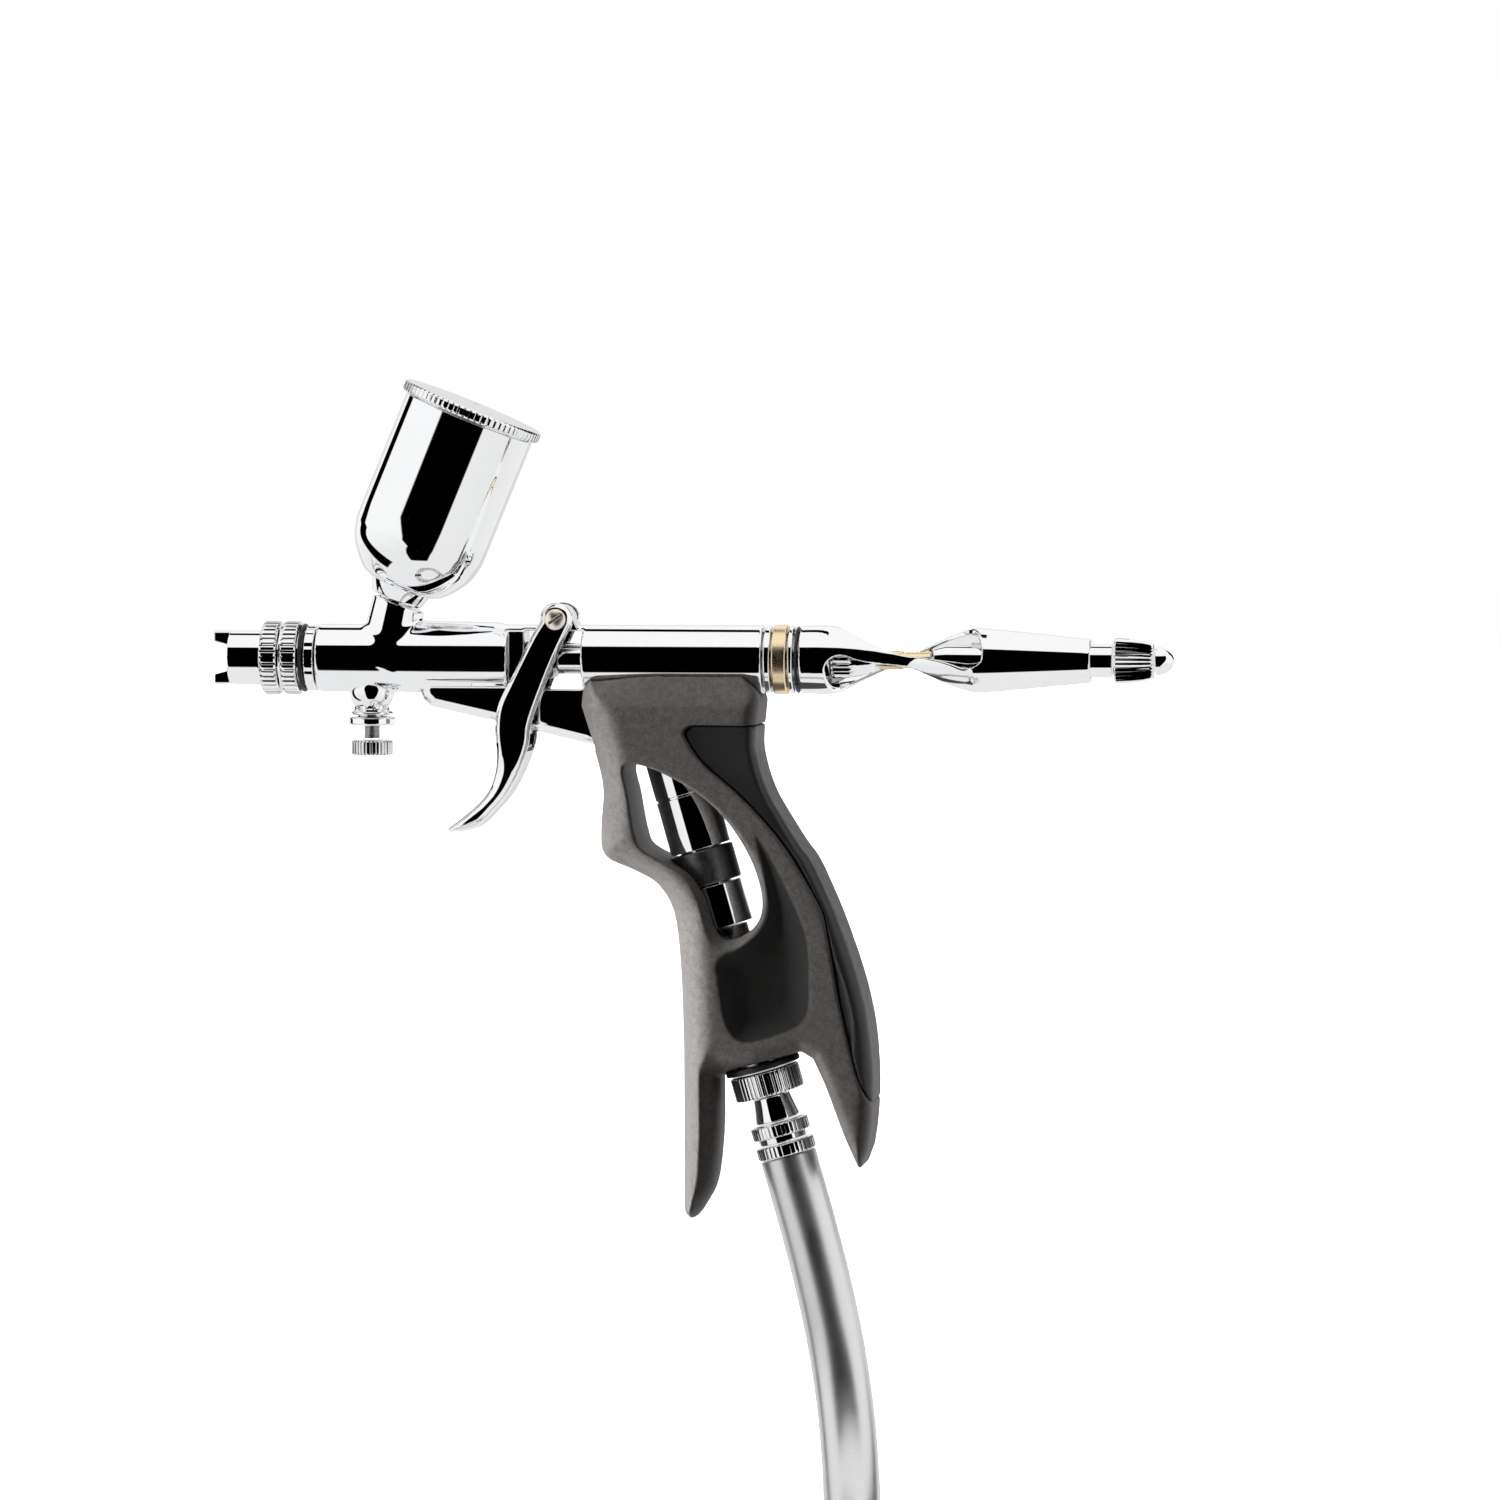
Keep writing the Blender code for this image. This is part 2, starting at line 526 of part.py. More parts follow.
BACK_EDGE = [(-0.2, -7.1), (-0.8, -14.1), (-0.3, -17.7), (0.7, -21.2), (2.3, -24.7),
             (6.7, -31.8), (9.2, -35.3), (12.5, -42.4), (15.2, -49.4), (17.5, -56.5),
             (19.1, -63.5), (19.8, -70.6), (19.9, -75.9), (19.6, -81.2), (19.0, -85.5)]


def grip_outline():
    front = [(-32.2, -8.1), (-31.3, -10.9), (-29.4, -16.8), (-28.1, -22.9), (-28.5, -30.0),
             (-27.8, -34.4), (-23.0, -36.7), (-18.6, -39.2), (-15.6, -44.1), (-14.4, -52.9),
             (-13.8, -77.7), (-13.8, -97.6)]
    front_prong = [(-12.9, -98.6), (-10.6, -96.2), (-8.5, -91.5), (-7.6, -82.7),
                   (-7.6, -73.3)]
    fork_top = [(-6.4, -72.2), (7.2, -68.4)]
    rear_prong = [(9.3, -69.6), (11.6, -74.7), (14.6, -82.7), (17.4, -88.3), (18.3, -89.6)]
    back = BACK_EDGE[::-1] + [(-0.8, -5.3)]
    return ([(-30.8, -2.8), (-31.9, -5.3)] + rounded(front) + rounded(front_prong, 2)
            + fork_top + rounded(rear_prong, 2) + rounded(back) + [(-3.2, -2.8)])


def strap_outline():
    inner = [(18.7, -75.6), (17.0, -71.1), (14.3, -59.6), (12.2, -47.3), (10.5, -42.0),
             (4.6, -32.3), (-2.4, -24.3), (-9.5, -18.1), (-12.1, -14.6), (-13.0, -12.6),
             (-11.8, -11.4)]
    return [(4.4, -11.4), (4.4, -17.6), (11.5, -30.0), (24.0, -50.0), (25.0, -78.4),
            (20.5, -78.4)] + rounded(inner, 2)


def scoop_outline():
    """The hollow for the palm in each side of the grip, beside and below the window."""
    return rounded_loop([(-0.1, -30.7), (4.8, -39.2), (8.7, -49.1), (9.0, -58.9),
                         (7.3, -63.5), (1.3, -66.0), (-4.0, -66.2), (-6.8, -59.0),
                         (-7.5, -53.0), (-4.0, -50.5), (0.0, -46.6), (1.2, -40.0)])


def window_outline():
    return rounded_loop([(-24.0, -19.3), (-22.3, -18.1), (-17.4, -19.5), (-10.4, -23.5),
                         (-5.4, -28.3), (-1.5, -34.6), (0.4, -40.8), (0.0, -45.2),
                         (-2.6, -47.9), (-6.0, -48.8), (-8.1, -46.5), (-9.8, -41.5),
                         (-13.0, -37.1), (-20.1, -33.4), (-21.8, -30.6), (-23.1, -23.7)])


def core_outline(inset):
    """The part of the grip inside the strap, inset from the back edge."""
    back = rounded(BACK_EDGE)
    return [(-45.0, -2.0)] + [(x - inset, z) for x, z in back] + [(-45.0, -90.0)]


def grip_envelope(name, mats):
    """The grip's outer form: its side outline, narrowed at the top and towards the tips."""
    body = prism(name, grip_outline(), -GRIP_HALF, GRIP_HALF, mats["frame"])
    edges = body.modifiers.new("edge_bevel", "BEVEL")
    edges.width = 1.6 * MM
    edges.segments = 2
    edges.limit_method = "ANGLE"
    edges.angle_limit = math.radians(60)
    half_section = [(6.3, -2.0), (6.3, -2.9), (GRIP_HALF, -8.1), (GRIP_HALF, -55.0),
                    (8.3, -100.0)]
    section = half_section + [(-y, z) for y, z in reversed(half_section)]
    front_view = prism(name + "_section", section, -40.0, 30.0, mats["frame"], "YZ")
    use(body, front_view, "INTERSECT")
    return body


def make_grip(mats):
    side_depth = GRIP_HALF - 1.8
    scoop_depth = 1.0
    grip = grip_envelope("grip_frame", mats)

    shell_cut = prism("strap_seat_cut", grown(strap_outline(), GAP), -12.0, 12.0,
                      mats["frame"])
    use(shell_cut, prism("strap_core_small", core_outline(SKIN + GAP), GAP - side_depth,
                         side_depth - GAP, mats["frame"]), "DIFFERENCE")
    use(grip, shell_cut, "DIFFERENCE")

    use(grip, prism("window_cut", window_outline(), -12.0, 12.0, mats["frame"]),
        "DIFFERENCE")
    use(grip, turned("cradle_cut", [(-40.0, 0.0), (-40.0, BARREL_R + GAP),
                                    (5.0, BARREL_R + GAP), (5.0, 0.0)], mats["frame"],
                     segments=ROUND_LARGE), "DIFFERENCE")
    use(grip, block("arm_seat_cut", (-36.0, -23.7), (-ARM_HALF - 0.35, ARM_HALF + 0.35),
                    (-15.9, 0.0), mats["frame"]), "DIFFERENCE")
    use(grip, turned("tube_bore_cut", [
        (-62.3, 0.0), (-62.3, TUBE_R + 0.35), (-26.6, TUBE_R + 0.35), (-26.6, 4.7),
        (0.0, 4.7), (0.0, 0.0)], mats["frame"], tuple(along_inlet(0.0)), INLET_AXIS),
        "DIFFERENCE")
    for number, side in enumerate((-1, 1)):
        low, high = sorted((side * (GRIP_HALF - scoop_depth), side * 12.0))
        use(grip, prism(f"scoop_cut_{number}", scoop_outline(), low, high, mats["frame"]),
            "DIFFERENCE")

    strap = grip_envelope("back_strap", mats)
    strap.data.materials[0] = mats["rubber"]
    use(strap, prism("strap_region", strap_outline(), -12.0, 12.0, mats["rubber"]),
        "INTERSECT")
    use(strap, prism("strap_core", core_outline(SKIN), -side_depth, side_depth,
                     mats["rubber"]), "DIFFERENCE")


def make_inlet(mats):
    """Air tube in the grip, and the inlet fittings between the grip's two prongs."""
    base = tuple(along_inlet(0.0))

    def inlet(name, profile, finish, segments=ROUND):
        turned(name, profile, mats[finish], base, INLET_AXIS, segments)

    inlet("air_tube", [
        (-62.0, 2.2), (-62.0, TUBE_R), (-52.9, TUBE_R), (-52.9, TUBE_R - 0.25),
        (-52.5, TUBE_R - 0.25), (-52.5, TUBE_R), (-42.9, TUBE_R), (-42.9, 3.7),
        (-33.0, 3.7), (-33.0, 2.2)], "chrome", ROUND_LARGE)
    inlet("tube_collar", [(-42.6, 4.0), (-42.6, TUBE_R), (-42.4, TUBE_R + 0.2),
                          (-36.6, TUBE_R + 0.2), (-36.4, TUBE_R), (-36.4, 4.0)], "steel", ROUND_LARGE)
    inlet("lower_tube", [(-36.1, 4.0), (-36.1, TUBE_R), (-28.6, TUBE_R), (-28.6, 2.2),
                         (-32.7, 2.2), (-32.7, 4.0)], "chrome", ROUND_LARGE)
    inlet("inlet_stem", [(-28.3, 1.5), (-28.3, 4.3), (-2.6, 4.3), (-2.6, 1.5)], "steel")
    inlet("inlet_boot", [(-3.7, 4.6), (-3.7, 6.5), (-3.4, 6.7), (-2.8, 6.7), (-2.6, 6.5),
                         (-2.6, 4.6)], "rubber")
    inlet("inlet_nut", [(-2.3, 2.6), (-2.3, 5.9), (-2.0, 6.2), (1.8, 6.2), (2.1, 5.9),
                        (2.1, 2.6)], "chrome", ROUND_LARGE)
    inlet("inlet_plug", [(-2.3, 1.2), (-2.3, 2.3), (2.4, 2.3), (2.4, 3.3), (4.4, 3.6),
                         (6.4, 4.0), (6.7, 4.0), (6.7, 1.2)], "chrome")
    inlet("coupler_body", [(7.0, 1.2), (7.0, 4.4), (10.5, 4.4), (10.5, 1.2)], "chrome")
    inlet("coupler_sleeve", [(7.2, 4.7), (7.2, 5.0), (7.4, 5.2), (9.3, 5.2), (9.5, 5.0),
                             (9.5, 4.7)], "chrome")
    inlet("hose_collar", [(10.8, 1.2), (10.8, 5.0), (11.0, 5.25), (12.9, 5.25), (13.1, 5.0),
                          (13.1, 1.2)], "chrome")


def hose_points():
    """The hose from its collar down to where it meets the coil."""
    top = along_inlet(13.4)
    lower = along_inlet(24.0)
    third = along_inlet(36.0)
    bend_start = FLOOR_Z + COIL_LIFT + TOP_TURN_Z + HOSE_BEND
    route = [tuple(top), tuple(lower), tuple(third), (13.0, 0.0, bend_start)]
    for angle, x in ((17, 15.9), (34, 17.5), (50, 18.3)):
        swing = math.radians(angle)
        route.append((x, -HOSE_BEND * (1 - math.cos(swing)),
                      bend_start - HOSE_BEND * math.sin(swing)))
    return rounded(route, 2)


def make_hose(mats):
    tube("hose", hose_points(), HOSE_R, mats["hose"], 3)
    turned("hose_coil", [
        (0.0, COIL_R - COIL_HALF), (0.0, COIL_R + COIL_HALF),
        (COIL_HEIGHT, COIL_R + COIL_HALF), (COIL_HEIGHT, COIL_R - COIL_HALF)], mats["hose"],
        (COIL_X, COIL_Y, FLOOR_Z + COIL_LIFT), (0.0, 0.0, 1.0), 2 * ROUND_LARGE)

    tie_thick = COIL_LIFT - GAP
    half = COIL_HALF + 0.8
    inner = [(-half, -GAP), (half, -GAP), (half, COIL_HEIGHT + GAP),
             (-half, COIL_HEIGHT + GAP)]
    left = COIL_X - COIL_R
    base_z = FLOOR_Z + COIL_LIFT

    def shifted(points):
        return [(left + x, base_z + z) for x, z in points]

    tie = prism("coil_tie", shifted(grown(inner, tie_thick)), COIL_Y - 6.0, COIL_Y + 6.0,
                mats["rubber"])
    use(tie, prism("tie_cut", shifted(inner), COIL_Y - 8.0, COIL_Y + 8.0, mats["rubber"]),
        "DIFFERENCE")

    end_base = (COIL_X + LAST_TURN_R, COIL_Y - 36.4, FLOOR_Z + 7.3)
    toward = (0.0, -1.0, 0.0)
    turned("hose_end_ferrule", [
        (0.0, 1.5), (0.0, 5.4), (0.3, 5.7), (8.7, 5.7), (9.0, 5.4), (9.0, 3.2), (18.0, 3.2),
        (18.0, 1.5)], mats["chrome"], end_base, toward)
    turned("hose_end_nut", [
        (9.4, 3.5), (9.4, 6.7), (9.8, 7.1), (19.6, 7.1), (20.0, 6.7), (20.0, 5.2),
        (18.4, 5.2), (18.4, 3.5)], mats["chrome"], end_base, toward)


def main():
    clear_scene()
    mats = make_materials()
    make_head(mats)
    make_barrel(mats)
    make_cup(mats)
    make_air_screw(mats)
    make_trigger(mats)
    make_needle_group(mats)
    make_air_valve(mats)
    make_tail_rings(mats)
    make_tail_sleeve(mats)
    make_preset(mats)
    make_grip(mats)
    make_inlet(mats)
    make_hose(mats)


main()
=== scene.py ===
import math

import bpy
import numpy as np
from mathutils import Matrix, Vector


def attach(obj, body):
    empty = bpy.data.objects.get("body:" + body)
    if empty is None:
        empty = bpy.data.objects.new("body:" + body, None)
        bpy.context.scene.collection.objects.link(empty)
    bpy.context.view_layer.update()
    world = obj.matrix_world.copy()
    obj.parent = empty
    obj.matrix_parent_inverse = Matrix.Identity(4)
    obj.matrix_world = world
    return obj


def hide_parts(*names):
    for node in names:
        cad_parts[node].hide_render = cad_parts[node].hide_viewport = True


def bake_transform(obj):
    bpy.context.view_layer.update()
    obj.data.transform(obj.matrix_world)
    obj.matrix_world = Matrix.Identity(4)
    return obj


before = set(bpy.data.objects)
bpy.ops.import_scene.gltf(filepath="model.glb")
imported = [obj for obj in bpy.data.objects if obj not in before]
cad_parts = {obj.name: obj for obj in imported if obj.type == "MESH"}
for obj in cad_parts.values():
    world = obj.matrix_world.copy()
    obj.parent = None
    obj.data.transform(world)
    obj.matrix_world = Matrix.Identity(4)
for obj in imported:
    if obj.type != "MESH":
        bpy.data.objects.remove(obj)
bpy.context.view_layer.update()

# Every length below is in millimetres from the barrel's axis; x runs from the nozzle to the
# tail, y away from the camera and z up.
MM = 0.001
AXIS_Z = 53.0                   # barrel axis above the frame's origin
BARREL_R = 6.0
BARREL_FRONT = -79.4
SLOT_FRONT = -45.1              # trigger slot through the barrel
CORE_REAR = -42.3               # the barrel's core between the trigger's cheeks ends here
SLOT_REAR = -31.9
SLOT_BOTTOM, SLOT_TOP = -5.3, 5.0
CUP_X = -70.1
CUP_TILT = math.radians(22.5)
CUP_AXIS = (math.sin(CUP_TILT), 0.0, math.cos(CUP_TILT))
DOWN = (0.0, 0.0, -1.0)
ALONG_X = (1.0, 0.0, 0.0)
ACROSS = (0.0, 1.0, 0.0)
PIVOT_X = -36.4
PIVOT_Z = 7.06
PIVOT_HOLE_R = 1.5
TRIGGER_HALF = 5.2
TRIGGER_GAP = 3.75              # half the room between the trigger's cheeks
ARM_HALF = 3.4                  # half width of the air arm under the barrel
VALVE_Z = -9.35
VALVE_BORE_R = 2.2
VALVE_SLOT_FRONT = -44.8
INLET_BASE = (0.53, 0.0, -74.5)
INLET_TILT = math.radians(16.0)
INLET_AXIS = (math.sin(INLET_TILT), 0.0, -math.cos(INLET_TILT))
TUBE_R = 5.4
GRIP_HALF = 9.0
FLOOR_Z = -185.0
SHARP_TURN = math.radians(25)   # a section's corners sharper than this are rounded
MATERIALS = {}


# ---- mesh building

def to_world(points):
    """Millimetres from the barrel's axis to metres in the row frame."""
    out = np.array(points, float) * MM
    out[..., 2] += AXIS_Z * MM
    return out


def add_piece(name, points, quads, tris=(), normals=None, material="chrome", body="gun",
              slot=None, nodes=None):
    """Makes a mesh object from arrays. It rides on its body and, unless nodes says otherwise,
    replaces the CAD node of its name."""
    co = to_world(points)
    quads = np.array(quads, int).reshape(-1, 4)
    tris = np.array(tris, int).reshape(-1, 3)
    own_name = name + "_shape"      # the CAD nodes already have the plain names
    mesh = bpy.data.meshes.new(own_name)
    mesh.vertices.add(len(co))
    mesh.vertices.foreach_set("co", co.ravel())
    corners = np.concatenate([quads.ravel(), tris.ravel()])
    mesh.loops.add(len(corners))
    mesh.loops.foreach_set("vertex_index", corners)
    starts = np.concatenate([np.arange(len(quads)) * 4,
                             len(quads) * 4 + np.arange(len(tris)) * 3])
    mesh.polygons.add(len(starts))
    mesh.polygons.foreach_set("loop_start", starts)
    mesh.update(calc_edges=True)
    mesh.polygons.foreach_set("use_smooth", np.ones(len(starts), bool))
    if normals is None:
        mesh.set_sharp_from_angle(angle=math.radians(32))
    else:
        mesh.normals_split_custom_set_from_vertices(normals)
    mesh.materials.append(MATERIALS[material])
    obj = bpy.data.objects.new(own_name, mesh)
    bpy.context.scene.collection.objects.link(obj)
    if body:
        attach(obj, body)
    replaced = [name] if nodes is None else nodes
    if replaced:
        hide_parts(*replaced)
    return obj


def axis_frame(axis):
    """An axis as a unit vector, and two directions square to it."""
    axis = np.array(axis, float)
    axis /= np.linalg.norm(axis)
    other = np.array([0.0, 1.0, 0.0]) if abs(axis[1]) < 0.9 else np.array([0.0, 0.0, 1.0])
    u = np.cross(other, axis)
    u /= np.linalg.norm(u)
    return axis, u, np.cross(axis, u)


def rounded_section(profile, edge):
    """A turned section with a small radius on each corner, and its outward normals."""
    pts = np.array(profile, float)
    closed = pts[0, 1] > 1e-6 and pts[-1, 1] > 1e-6
    count = len(pts)
    out, normals = [], []

    def side(a, b):
        d = b - a
        return np.array([-d[1], d[0]]) / max(np.hypot(*d), 1e-9)

    for i, p in enumerate(pts):
        if not closed and i in (0, count - 1):
            n = side(p, pts[1]) if i == 0 else side(pts[-2], p)
            out.append(p)
            normals.append(n)
            continue
        before, after = pts[i - 1], pts[(i + 1) % count]
        d1, d2 = p - before, after - p
        l1, l2 = np.hypot(*d1), np.hypot(*d2)
        n1, n2 = side(before, p), side(p, after)
        turn = math.acos(max(-1.0, min(1.0, float(n1 @ n2))))
        if turn < SHARP_TURN:
            n = n1 + n2
            out.append(p)
            normals.append(n / np.hypot(*n))
            continue
        cut = min(edge, 0.42 * l1, 0.42 * l2)
        for share in (0.0, 0.33, 0.67, 1.0):
            a = p - d1 / l1 * cut
            b = p + d2 / l2 * cut
            out.append((1 - share) ** 2 * a + 2 * share * (1 - share) * p + share ** 2 * b)
            n = n1 * (1 - share) + n2 * share
            length = np.hypot(*n)
            normals.append(n / length if length > 1e-6 else n1)
    return np.array(out), np.array(normals), closed


def ring(start, end, inner, outer, corner=0.0):
    """A ring's section, its outer corners cut off by the given size."""
    if not corner:
        return [(start, inner), (start, outer), (end, outer), (end, inner)]
    return [(start, inner), (start, outer - corner), (start + corner, outer),
            (end - corner, outer), (end, outer - corner), (end, inner)]


def turned(name, profile, base=(0.0, 0.0, 0.0), axis=ALONG_X, segments=112, edge=0.12,
           ribs=None, **look):
    """A turned piece from its closed section of (distance along the axis, radius).
    ribs = (count, depth, first, last, shape): grooves cut between two places on the axis,
    round-bottomed for "flute", narrow between flat lands for "rib"."""
    section, flat_normals, closed = rounded_section(profile, edge)
    area = 0.5 * np.sum(section[:, 0] * np.roll(section[:, 1], -1)
                        - np.roll(section[:, 0], -1) * section[:, 1])
    if ribs:
        count, depth, first, last, shape = ribs
        per = 6 if shape == "flute" else 8
        segments = count * per
        fine = []
        for (a0, r0), (a1, r1) in zip(section, np.roll(section, -1, axis=0)):
            fine.append((a0, r0))
            if abs(a1 - a0) > 0.5 and (closed or (a1, r1) != tuple(section[0])):
                for share in (0.25, 0.5, 0.75):
                    fine.append((a0 + (a1 - a0) * share, r0 + (r1 - r0) * share))
        section = np.array(fine)
        flat_normals = None
    angles = np.linspace(0, 2 * math.pi, segments, endpoint=False)
    axis, u, v = axis_frame(axis)
    spokes = np.cos(angles)[:, None] * u + np.sin(angles)[:, None] * v
    a = section[:, 0][:, None] * np.ones(segments)
    r = section[:, 1][:, None] * np.ones(segments)
    if ribs:
        phase = (np.arange(segments) % per) / per
        if shape == "flute":
            wave = 0.5 - 0.5 * np.cos(2 * math.pi * phase)
        else:
            wave = np.array([0.1, 0.0, 0.0, 0.0, 0.0, 0.1, 1.0, 1.0])[
                np.arange(segments) % per]
        top = section[(section[:, 0] >= first) & (section[:, 0] <= last), 1].max()
        inside = ((section[:, 0] >= first - 1e-6) & (section[:, 0] <= last + 1e-6)
                  & (section[:, 1] > top - 1.5 * depth - 0.4))
        ends = np.clip(np.minimum(section[:, 0] - first, last - section[:, 0]) / 0.12, 0, 1)
        r = r - depth * wave[None, :] * (inside * ends)[:, None]
    points = (np.array(base, float) + a[..., None] * axis + r[..., None] * spokes[None])
    normals = None
    if flat_normals is not None:
        if area > 0:
            flat_normals = -flat_normals
        normals = (flat_normals[:, 0][:, None, None] * axis
                   + flat_normals[:, 1][:, None, None] * spokes[None])
    rows = len(section)
    index = np.arange(rows * segments).reshape(rows, segments)
    poles = [i for i in range(rows) if section[i, 1] < 1e-6]
    quads, tris = [], []
    last_row = rows if closed else rows - 1
    for i in range(last_row):
        j = (i + 1) % rows
        one, two = index[i], index[j]
        one_next, two_next = np.roll(one, -1), np.roll(two, -1)
        if i in poles and j in poles:
            continue
        if i in poles:
            tris.append(np.stack([np.full(segments, one[0]), two, two_next], 1))
        elif j in poles:
            tris.append(np.stack([one, np.full(segments, two[0]), one_next], 1))
        else:
            quads.append(np.stack([one, two, two_next, one_next], 1))
    quads = np.concatenate(quads) if quads else np.zeros((0, 4), int)
    tris = np.concatenate(tris) if tris else np.zeros((0, 3), int)
    if area < 0:
        quads, tris = quads[:, ::-1], tris[:, ::-1]
    used = np.unique(np.concatenate([quads.ravel(), tris.ravel()]))
    remap = np.full(rows * segments, -1)
    remap[used] = np.arange(len(used))
    flat = points.reshape(-1, 3)[used]
    if normals is not None:
        normals = normals.reshape(-1, 3)[used]
    return add_piece(name, flat, remap[quads], remap[tris], normals, **look)


def swept(name, path, radius, sides=16, closed_ends=True, **look):
    """A round tube along a line of points."""
    path = np.array(path, float)
    tangent = np.gradient(path, axis=0)
    tangent /= np.linalg.norm(tangent, axis=1)[:, None]
    u = np.cross(tangent[0], (0.0, 1.0, 0.0))
    if np.linalg.norm(u) < 0.1:
        u = np.cross(tangent[0], (0.0, 0.0, 1.0))
    rings, ring_normals = [], []
    angles = np.linspace(0, 2 * math.pi, sides, endpoint=False)
    for p, t in zip(path, tangent):
        u = u - t * (u @ t)
        u /= np.linalg.norm(u)
        v = np.cross(t, u)
        spokes = np.cos(angles)[:, None] * u + np.sin(angles)[:, None] * v
        rings.append(p + radius * spokes)
        ring_normals.append(spokes)
    rows = len(path)
    index = np.arange(rows * sides).reshape(rows, sides)
    one, two = index[:-1], index[1:]
    quads = np.stack([one, np.roll(one, -1, 1), np.roll(two, -1, 1), two], -1).reshape(-1, 4)
    points = np.concatenate(rings)
    normals = np.concatenate(ring_normals)
    tris = []
    if closed_ends:
        points = np.concatenate([points, path[:1], path[-1:]])
        normals = np.concatenate([normals, -tangent[:1], tangent[-1:]])
        first, last = rows * sides, rows * sides + 1
        tris = np.concatenate([
            np.stack([np.full(sides, first), np.roll(index[0], -1), index[0]], 1),
            np.stack([np.full(sides, last), index[-1], np.roll(index[-1], -1)], 1)])
    return add_piece(name, points, quads, tris, normals, **look)


# ---- sculpted pieces

def radial(a, b):
    return np.sqrt(a * a + b * b)


def outside(value, low, high):
    """How far a value lies outside a range, negative inside it."""
    return np.maximum(low - value, value - high)


def smooth_max(a, b, k):
    """The larger of two fields, with a blend of about k where they meet."""
    h = np.clip(0.5 + 0.5 * (a - b) / k, 0, 1)
    return b + (a - b) * h + k * h * (1 - h)


def smooth_min(a, b, k):
    return -smooth_max(-a, -b, k)


def outline_distance(points, x, z):
    """Signed distance to a closed outline, negative inside."""
    best = np.full(np.broadcast(x, z).shape, 1e9)
    inside = np.zeros(best.shape, bool)
    loop = list(points)
    for (x0, z0), (x1, z1) in zip(loop, loop[1:] + loop[:1]):
        dx, dz = x1 - x0, z1 - z0
        length2 = dx * dx + dz * dz
        if length2 < 1e-12:
            continue
        t = np.clip(((x - x0) * dx + (z - z0) * dz) / length2, 0, 1)
        best = np.minimum(best, (x - x0 - t * dx) ** 2 + (z - z0 - t * dz) ** 2)
        if z0 != z1:
            crosses = ((z0 > z) != (z1 > z)) & (x < dx * (z - z0) / dz + x0)
            inside ^= crosses
    return np.where(inside, -1.0, 1.0) * np.sqrt(best)


def side_field(points, x, z):
    """The distance to a side-view outline, on the grid of x, y and z."""
    return outline_distance(points, x[:, 0, :], z[:, 0, :] + 0 * x[:, 0, :])[:, None, :]


def spline(points, steps=6, loop=False):
    """A smooth line through the points."""
    pts = np.array(points, float)
    if loop:
        padded = np.concatenate([pts[-1:], pts, pts[:2]])
    else:
        padded = np.concatenate([2 * pts[:1] - pts[1:2], pts, 2 * pts[-1:] - pts[-2:-1]])
    out = []
    for p0, p1, p2, p3 in zip(padded, padded[1:], padded[2:], padded[3:]):
        for s in np.linspace(0, 1, steps, endpoint=False):
            out.append(0.5 * (2 * p1 + (p2 - p0) * s + (2 * p0 - 5 * p1 + 4 * p2 - p3) * s ** 2
                              + (3 * p1 - p0 - 3 * p2 + p3) * s ** 3))
    if not loop:
        out.append(pts[-1])
    return [tuple(p) for p in out]


CELL = np.array([(i, j, k) for i in (0, 1) for j in (0, 1) for k in (0, 1)])
CELL_EDGES = [(a, b) for a in range(8) for b in range(a + 1, 8) if np.abs(CELL[a] - CELL[b]).sum()
        == 1]


def surface_nets(field, low, step):
    """Vertices, quads and normals of the zero surface of a sampled distance field."""
    inside = field < 0
    shape = np.array(field.shape) - 1
    total = np.zeros(shape, np.int8)
    for i, j, k in CELL:
        total += inside[i:i + shape[0], j:j + shape[1], k:k + shape[2]]
    cells = np.argwhere((total > 0) & (total < 8))
    index = np.full(shape, -1, np.int64)
    index[tuple(cells.T)] = np.arange(len(cells))
    corner = np.stack([field[tuple((cells + c).T)] for c in CELL], 1)
    place = np.zeros((len(cells), 3))
    hits = np.zeros(len(cells))
    for a, b in CELL_EDGES:
        fa, fb = corner[:, a], corner[:, b]
        cross = (fa < 0) != (fb < 0)
        t = np.where(cross, fa / np.where(fa == fb, 1, fa - fb), 0)
        place += np.where(cross[:, None], CELL[a] + t[:, None] * (CELL[b] - CELL[a]), 0)
        hits += cross
    place /= hits[:, None]
    quads = []
    for axis in range(3):
        u, v = np.eye(3, dtype=int)[(axis + 1) % 3], np.eye(3, dtype=int)[(axis + 2) % 3]
        head = [slice(None)] * 3
        tail = [slice(None)] * 3
        head[axis], tail[axis] = slice(0, -1), slice(1, None)
        a, b = inside[tuple(head)], inside[tuple(tail)]
        at = np.argwhere(a != b)
        ok = np.all((at - u - v >= 0) & (at < shape), axis=1)
        at = at[ok]
        ring = [index[tuple((at - u - v).T)], index[tuple((at - v).T)],
                index[tuple(at.T)], index[tuple((at - u).T)]]
        quad = np.stack(ring, 1)
        flip = ~a[tuple(at.T)]
        quad[flip] = quad[flip][:, ::-1]
        quads.append(quad)
    spot = cells + place
    base = np.clip(np.floor(spot).astype(int), 0, shape - 1)
    part = spot - base
    normals = np.zeros((len(spot), 3))
    for axis in range(3):
        slope = np.gradient(field, axis=axis)
        for c in CELL:
            weight = np.prod(np.where(c == 1, part, 1 - part), axis=1)
            normals[:, axis] += weight * slope[tuple((base + c).T)]
    normals /= np.maximum(np.linalg.norm(normals, axis=1), 1e-9)[:, None]
    return np.array(low) + spot * step, np.concatenate(quads), normals


